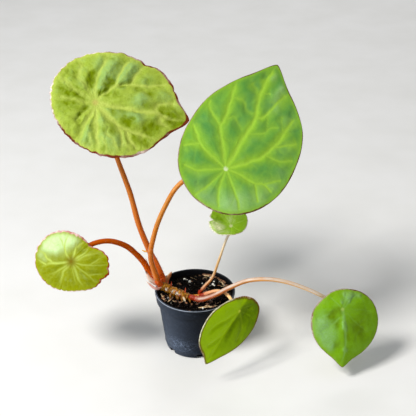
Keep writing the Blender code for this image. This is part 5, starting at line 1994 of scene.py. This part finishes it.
@dataclass
class Soil:
    """Loose dark potting soil with crumbs, white grains, bark chips and fibres on top.

    Attributes:
        pot: The pot that holds it.
        level: Height of its surface.
        lump_height: Height of its lumps.
        clear: Gap to the pot's wall.
        humps: Two soft humps: place across and away, height, squared spread.
        trough: Radius of the bed pressed under the creeping stem.
        reach, brim: How far out pieces are strewn, and where their outer ends must stay.
        bare: How far from the stem's middle line nothing lies.
        heap_spread: Squared spread of each heap of pieces.
        heaps: Where most chips, fibres and white grains lie.
        rings: Rows of the surface's grid.
        segments: Columns.
    """
    pot: Pot
    level: float = 42.6
    lump_height: float = 1.1
    clear: float = 0.3
    humps: tuple[tuple[float, ...], ...] = ((-16, -14, 1.8, 90), (14, 17, 1.6, 110))
    trough: float = 3.6
    reach: float = 27.2
    brim: float = 28.0
    bare: float = 3.0
    heap_spread: float = 60.0
    heaps: tuple[tuple[float, float], ...] = ((14, 20), (21, 13), (5, 24), (-21, -8), (9, -19))
    rings: int = 60
    segments: int = 220

    def height(self, x: Array, y: Array) -> Array:
        """The surface: heaped at the front left and at the back right, lumpy all over, and
        pressed down under the creeping stem.

        Formula: level + two bell-shaped humps + noise, held below the stem's own underside.

        Args:
            x: Places across.
            y: Places away from the front.

        Returns:
            Heights of the same shape.
        """
        heap = sum(rise * np.exp(-((x - a) ** 2 + (y - b) ** 2) / wide)
                   for a, b, rise, wide in self.humps)
        place = np.stack([x, y, 0 * x], -1)
        lumps = smooth_noise(place, 6.5, 41, 2) + 0.5 * smooth_noise(place, 2.2, 43, 3)
        height = self.level + heap + self.lump_height * lumps
        flat = np.stack([x, y], -1).reshape(-1, 2)
        gap, along = near_route(flat, SPINE[:, :2])
        middle = np.interp(along, np.linspace(0, 1, len(SPINE)), SPINE[:, 2])
        under = middle - np.sqrt(np.clip(self.trough ** 2 - gap ** 2, 0, None))
        under = np.where(gap < self.trough, under, 99.0).reshape(x.shape)
        return np.minimum(height, np.maximum(under, self.level - 4))

    def bed(self) -> Shell:
        """The closed bed: its top, then the wall's inner profile down to the pot's floor.

        Returns:
            The shell.
        """
        wall = np.array(self.pot.inside(self.clear)[::-1])
        radius = wall[0, 0] * (np.arange(1, self.rings + 1) / self.rings)
        turn = turns(self.segments)
        x, y = radius[:, None] * np.cos(turn), radius[:, None] * np.sin(turn)
        top = np.stack([x, y, self.height(x, y)], -1)
        lower = np.vstack([wall[1:], [[0.5, self.pot.floor + self.clear]]])
        side = lower[:, 0, None, None] * circle(turn) + lower[:, 1, None, None] * UP
        points = np.vstack([top, side])
        tone = 0.35 + 0.5 * smooth_noise(points, 3.0, 44, 3)
        return closed_grid(points, {"tone": tone})

    def strew(self, kind: Strewn, seed: int, flat: Spot, level: int) -> Shell:
        """Scatter lumps over the surface.

        Args:
            kind: What is strewn.
            seed: Seeds its places.
            flat: The lumps' three proportions.
            level: How finely each lump's ball is split.

        Returns:
            All the lumps as one shell with a tone for each.
        """
        draw = np.random.default_rng(seed)
        count, small, large = kind.value
        radius = self.reach * np.sqrt(draw.random(4 * count))
        turn = 2 * np.pi * draw.random(4 * count)
        x, y = radius * np.cos(turn), radius * np.sin(turn)
        size = small + (large - small) * draw.random(4 * count) ** 2.2
        spots = np.stack([x, y, self.height(x, y) + 0.25 * size], -1)
        heaps = sum(np.exp(-((x - a) ** 2 + (y - b) ** 2) / self.heap_spread)
                    for a, b in self.heaps)
        keep = draw.random(4 * count) < (0.12 + heaps if level > 0 or flat[2] < 0.6 else 1.0)
        free = near_route(spots, SPINE)[0] > self.bare + 0.8 * size
        free &= (radius + size * max(flat) < self.brim) & keep
        spots, size = spots[free][:count], size[free][:count]
        axes = random_turns(draw, len(spots)) * np.array(flat)[None, :, None]
        if flat[2] < 0.6:
            tilt = draw.normal(size=(len(spots), 3)) * 0.35 + UP
            up = unit(tilt)
            lengthwise = unit(np.cross(up, draw.normal(size=(len(spots), 3))))
            axes = np.stack([flat[0] * lengthwise, flat[1] * np.cross(up, lengthwise),
                             flat[2] * up], 1)
        axes = axes * size[:, None, None]
        tone = draw.random(len(spots))
        laid = np.array(SCRAPS.get(kind, ()), dtype=float).reshape(-1, 5)
        if len(laid):
            x, y, half, degrees = laid[:, :4].T
            lengthwise = circle(np.radians(degrees))
            up = np.broadcast_to(UP, lengthwise.shape)
            wide = 0.22 if kind is Strewn.FIBRES else flat[1]
            thick = max(flat[2], 0.12)
            more = np.stack([flat[0] * lengthwise, wide * np.cross(up, lengthwise), thick * up], 1)
            axes = np.concatenate([axes, more * half[:, None, None]])
            lifted = self.height(x, y) + 0.5 * thick * half + 0.3
            spots = np.concatenate([spots, np.stack([x, y, lifted], -1)])
            tone = np.concatenate([tone, laid[:, 4]])
        shell = spread(lump(level), axes, spots, {"tone": tone})
        wobble = smooth_noise(shell.points, 0.8 * (small + large) / 2, seed, 2)
        centre = np.repeat(spots, len(lump(level).points), axis=0)
        shell.points = centre + (shell.points - centre) * (1 + 0.45 * wobble)[:, None]
        return shell

    def build(self) -> None:
        """Make and dress the bed and what lies on it."""
        slot = "potting_soil"
        # The pale specks on the earth and on the crumbs are painted glints.
        earth = GrainSkin(dark=rgb(2, 1, 1), light=rgb(10, 6, 4), speck=rgb(150, 130, 112),
                          size=0.9, rough=0.7, rise=0.5, specks=0.4, rare=0.68, gloss=0.02)
        crumb = GrainSkin(dark=rgb(2, 1, 1), light=rgb(14, 8, 5), speck=rgb(214, 200, 184),
                          size=0.6, rough=0.4, rise=0.3, specks=0.5, rare=0.68, gloss=0.05)
        white = GrainSkin(dark=rgb(150, 146, 138), light=rgb(236, 234, 226),
                          speck=rgb(120, 104, 90), size=0.6, rough=0.85, rise=0.2, specks=0.2)
        bark = GrainSkin(dark=rgb(48, 24, 13), light=rgb(146, 102, 72), speck=rgb(224, 190, 150),
                         size=0.8, rough=0.7, rise=0.3, specks=0.3)
        fibre = GrainSkin(dark=rgb(64, 38, 22), light=rgb(214, 184, 140), speck=rgb(60, 36, 22),
                          size=0.8, rough=0.7, rise=0.15, specks=0.35)
        self.bed().build("soil_bed", earth.material(slot), slot, "soil")
        for name, kind, seed, flat, level, skin in (
                ("soil_crumbs", Strewn.CRUMBS, 61, (1.0, 0.85, 0.7), 0, crumb),
                ("perlite_grains", Strewn.PERLITE, 62, (1.0, 0.9, 0.8), 1, white),
                ("bark_chips", Strewn.CHIPS, 63, (1.3, 0.8, 0.32), 1, bark),
                ("soil_fibres", Strewn.FIBRES, 64, (1.0, 0.09, 0.08), 0, fibre)):
            shell = self.strew(kind, seed, flat, level)
            shell.build(name, skin.material(name), slot, smooth=level > 0)


# Studio

@dataclass
class Studio:
    """Pale floor, soft lights and the camera.

    Attributes:
        eye: Where the camera is.
        tilt: How far it looks down, in degrees.
        lens: Its focal length on a frame 36 mm wide.
        floor_size: Width of the floor in metres.
    """
    eye: Spot = (9.727, -674.663, 476.808)
    tilt: float = 28.128
    lens: float = 92.25
    floor_size: float = 6.0

    def camera(self) -> None:
        """Place the camera and make it the scene's own."""
        data = bpy.data.cameras.new("photo_camera")
        data.lens = self.lens
        data.sensor_width = 36.0
        camera = placed("photo_camera", data)
        camera.location = tuple(MM * part for part in self.eye)
        camera.rotation_euler = (math.radians(90 - self.tilt), 0, 0)
        bpy.context.scene.camera = camera

    def softbox(self, name: str, spot: Spot, size: float, power: float, tint: Colour) -> None:
        """A square soft light that looks at the plant.

        Args:
            name: The light's name.
            spot: Where it is, in metres.
            size: Its width in metres.
            power: Its power in watts.
            tint: Its colour.
        """
        data = bpy.data.lights.new(name, "AREA")
        data.size = size
        data.energy = power
        data.color = tint
        light = placed(name, data)
        way = unit(np.array([0.0, 0.0, 0.1]) - np.array(spot))
        light.location = spot
        light.rotation_euler = (math.acos(-way[2]), 0, math.atan2(way[1], way[0]) - math.pi / 2)

    def build(self) -> None:
        """Place the floor, the light of the air, the lamps and the camera."""
        half = self.floor_size / 2
        corners = half * np.array([(-1, -1, 0), (1, -1, 0), (1, 1, 0), (-1, 1, 0)], dtype=float)
        mesh = bpy.data.meshes.new("studio_floor")
        mesh.from_pydata((corners - (0, 0, 0.0002)).tolist(), [], [(0, 1, 2, 3)])
        graph = Graph("studio_floor", rgb(226, 225, 222))
        graph.coat(rgb(231, 230, 228), graph.noise(60.0, 2), 0.3, 0.7)
        mesh.materials.append(graph.finish(0.9, gloss=0.1))
        floor = placed("studio_floor", mesh)
        world = bpy.data.worlds.new("studio_air")
        world.use_nodes = True
        air = world.node_tree.nodes["Background"]
        air.inputs["Color"].default_value = (0.93, 0.96, 1.0, 1.0)
        air.inputs["Strength"].default_value = 0.24
        bpy.context.scene.world = world
        self.softbox("key_light", (-0.7, -0.6, 1.2), 0.40, 23.0, (1.0, 0.985, 0.96))
        self.softbox("side_light", (-1.3, -0.6, 0.35), 0.8, 9.0, (0.70, 0.86, 1.0))
        self.softbox("fill_light", (1.1, -0.9, 0.7), 1.0, 1.5, (1.0, 0.98, 0.95))
        self.softbox("back_light", (0.2, 1.2, 1.0), 0.9, 5.0, (1.0, 1.0, 1.0))
        self.camera()
        bpy.context.scene.view_settings.view_transform = "Standard"


def main() -> None:
    """Build every sub-assembly in order; each piece logs its triangle count."""
    logging.basicConfig(level=logging.INFO, format="%(message)s")
    Studio().build()
    pot = Pot()
    pot.build()
    Soil(pot).build()
    CreepingStem().build()
    for sheath in SHEATHS:
        sheath.build()
    for plan in LEAVES:
        Blade(plan).build()
        Stalk(plan).build()


if __name__ == "__main__":
    main()
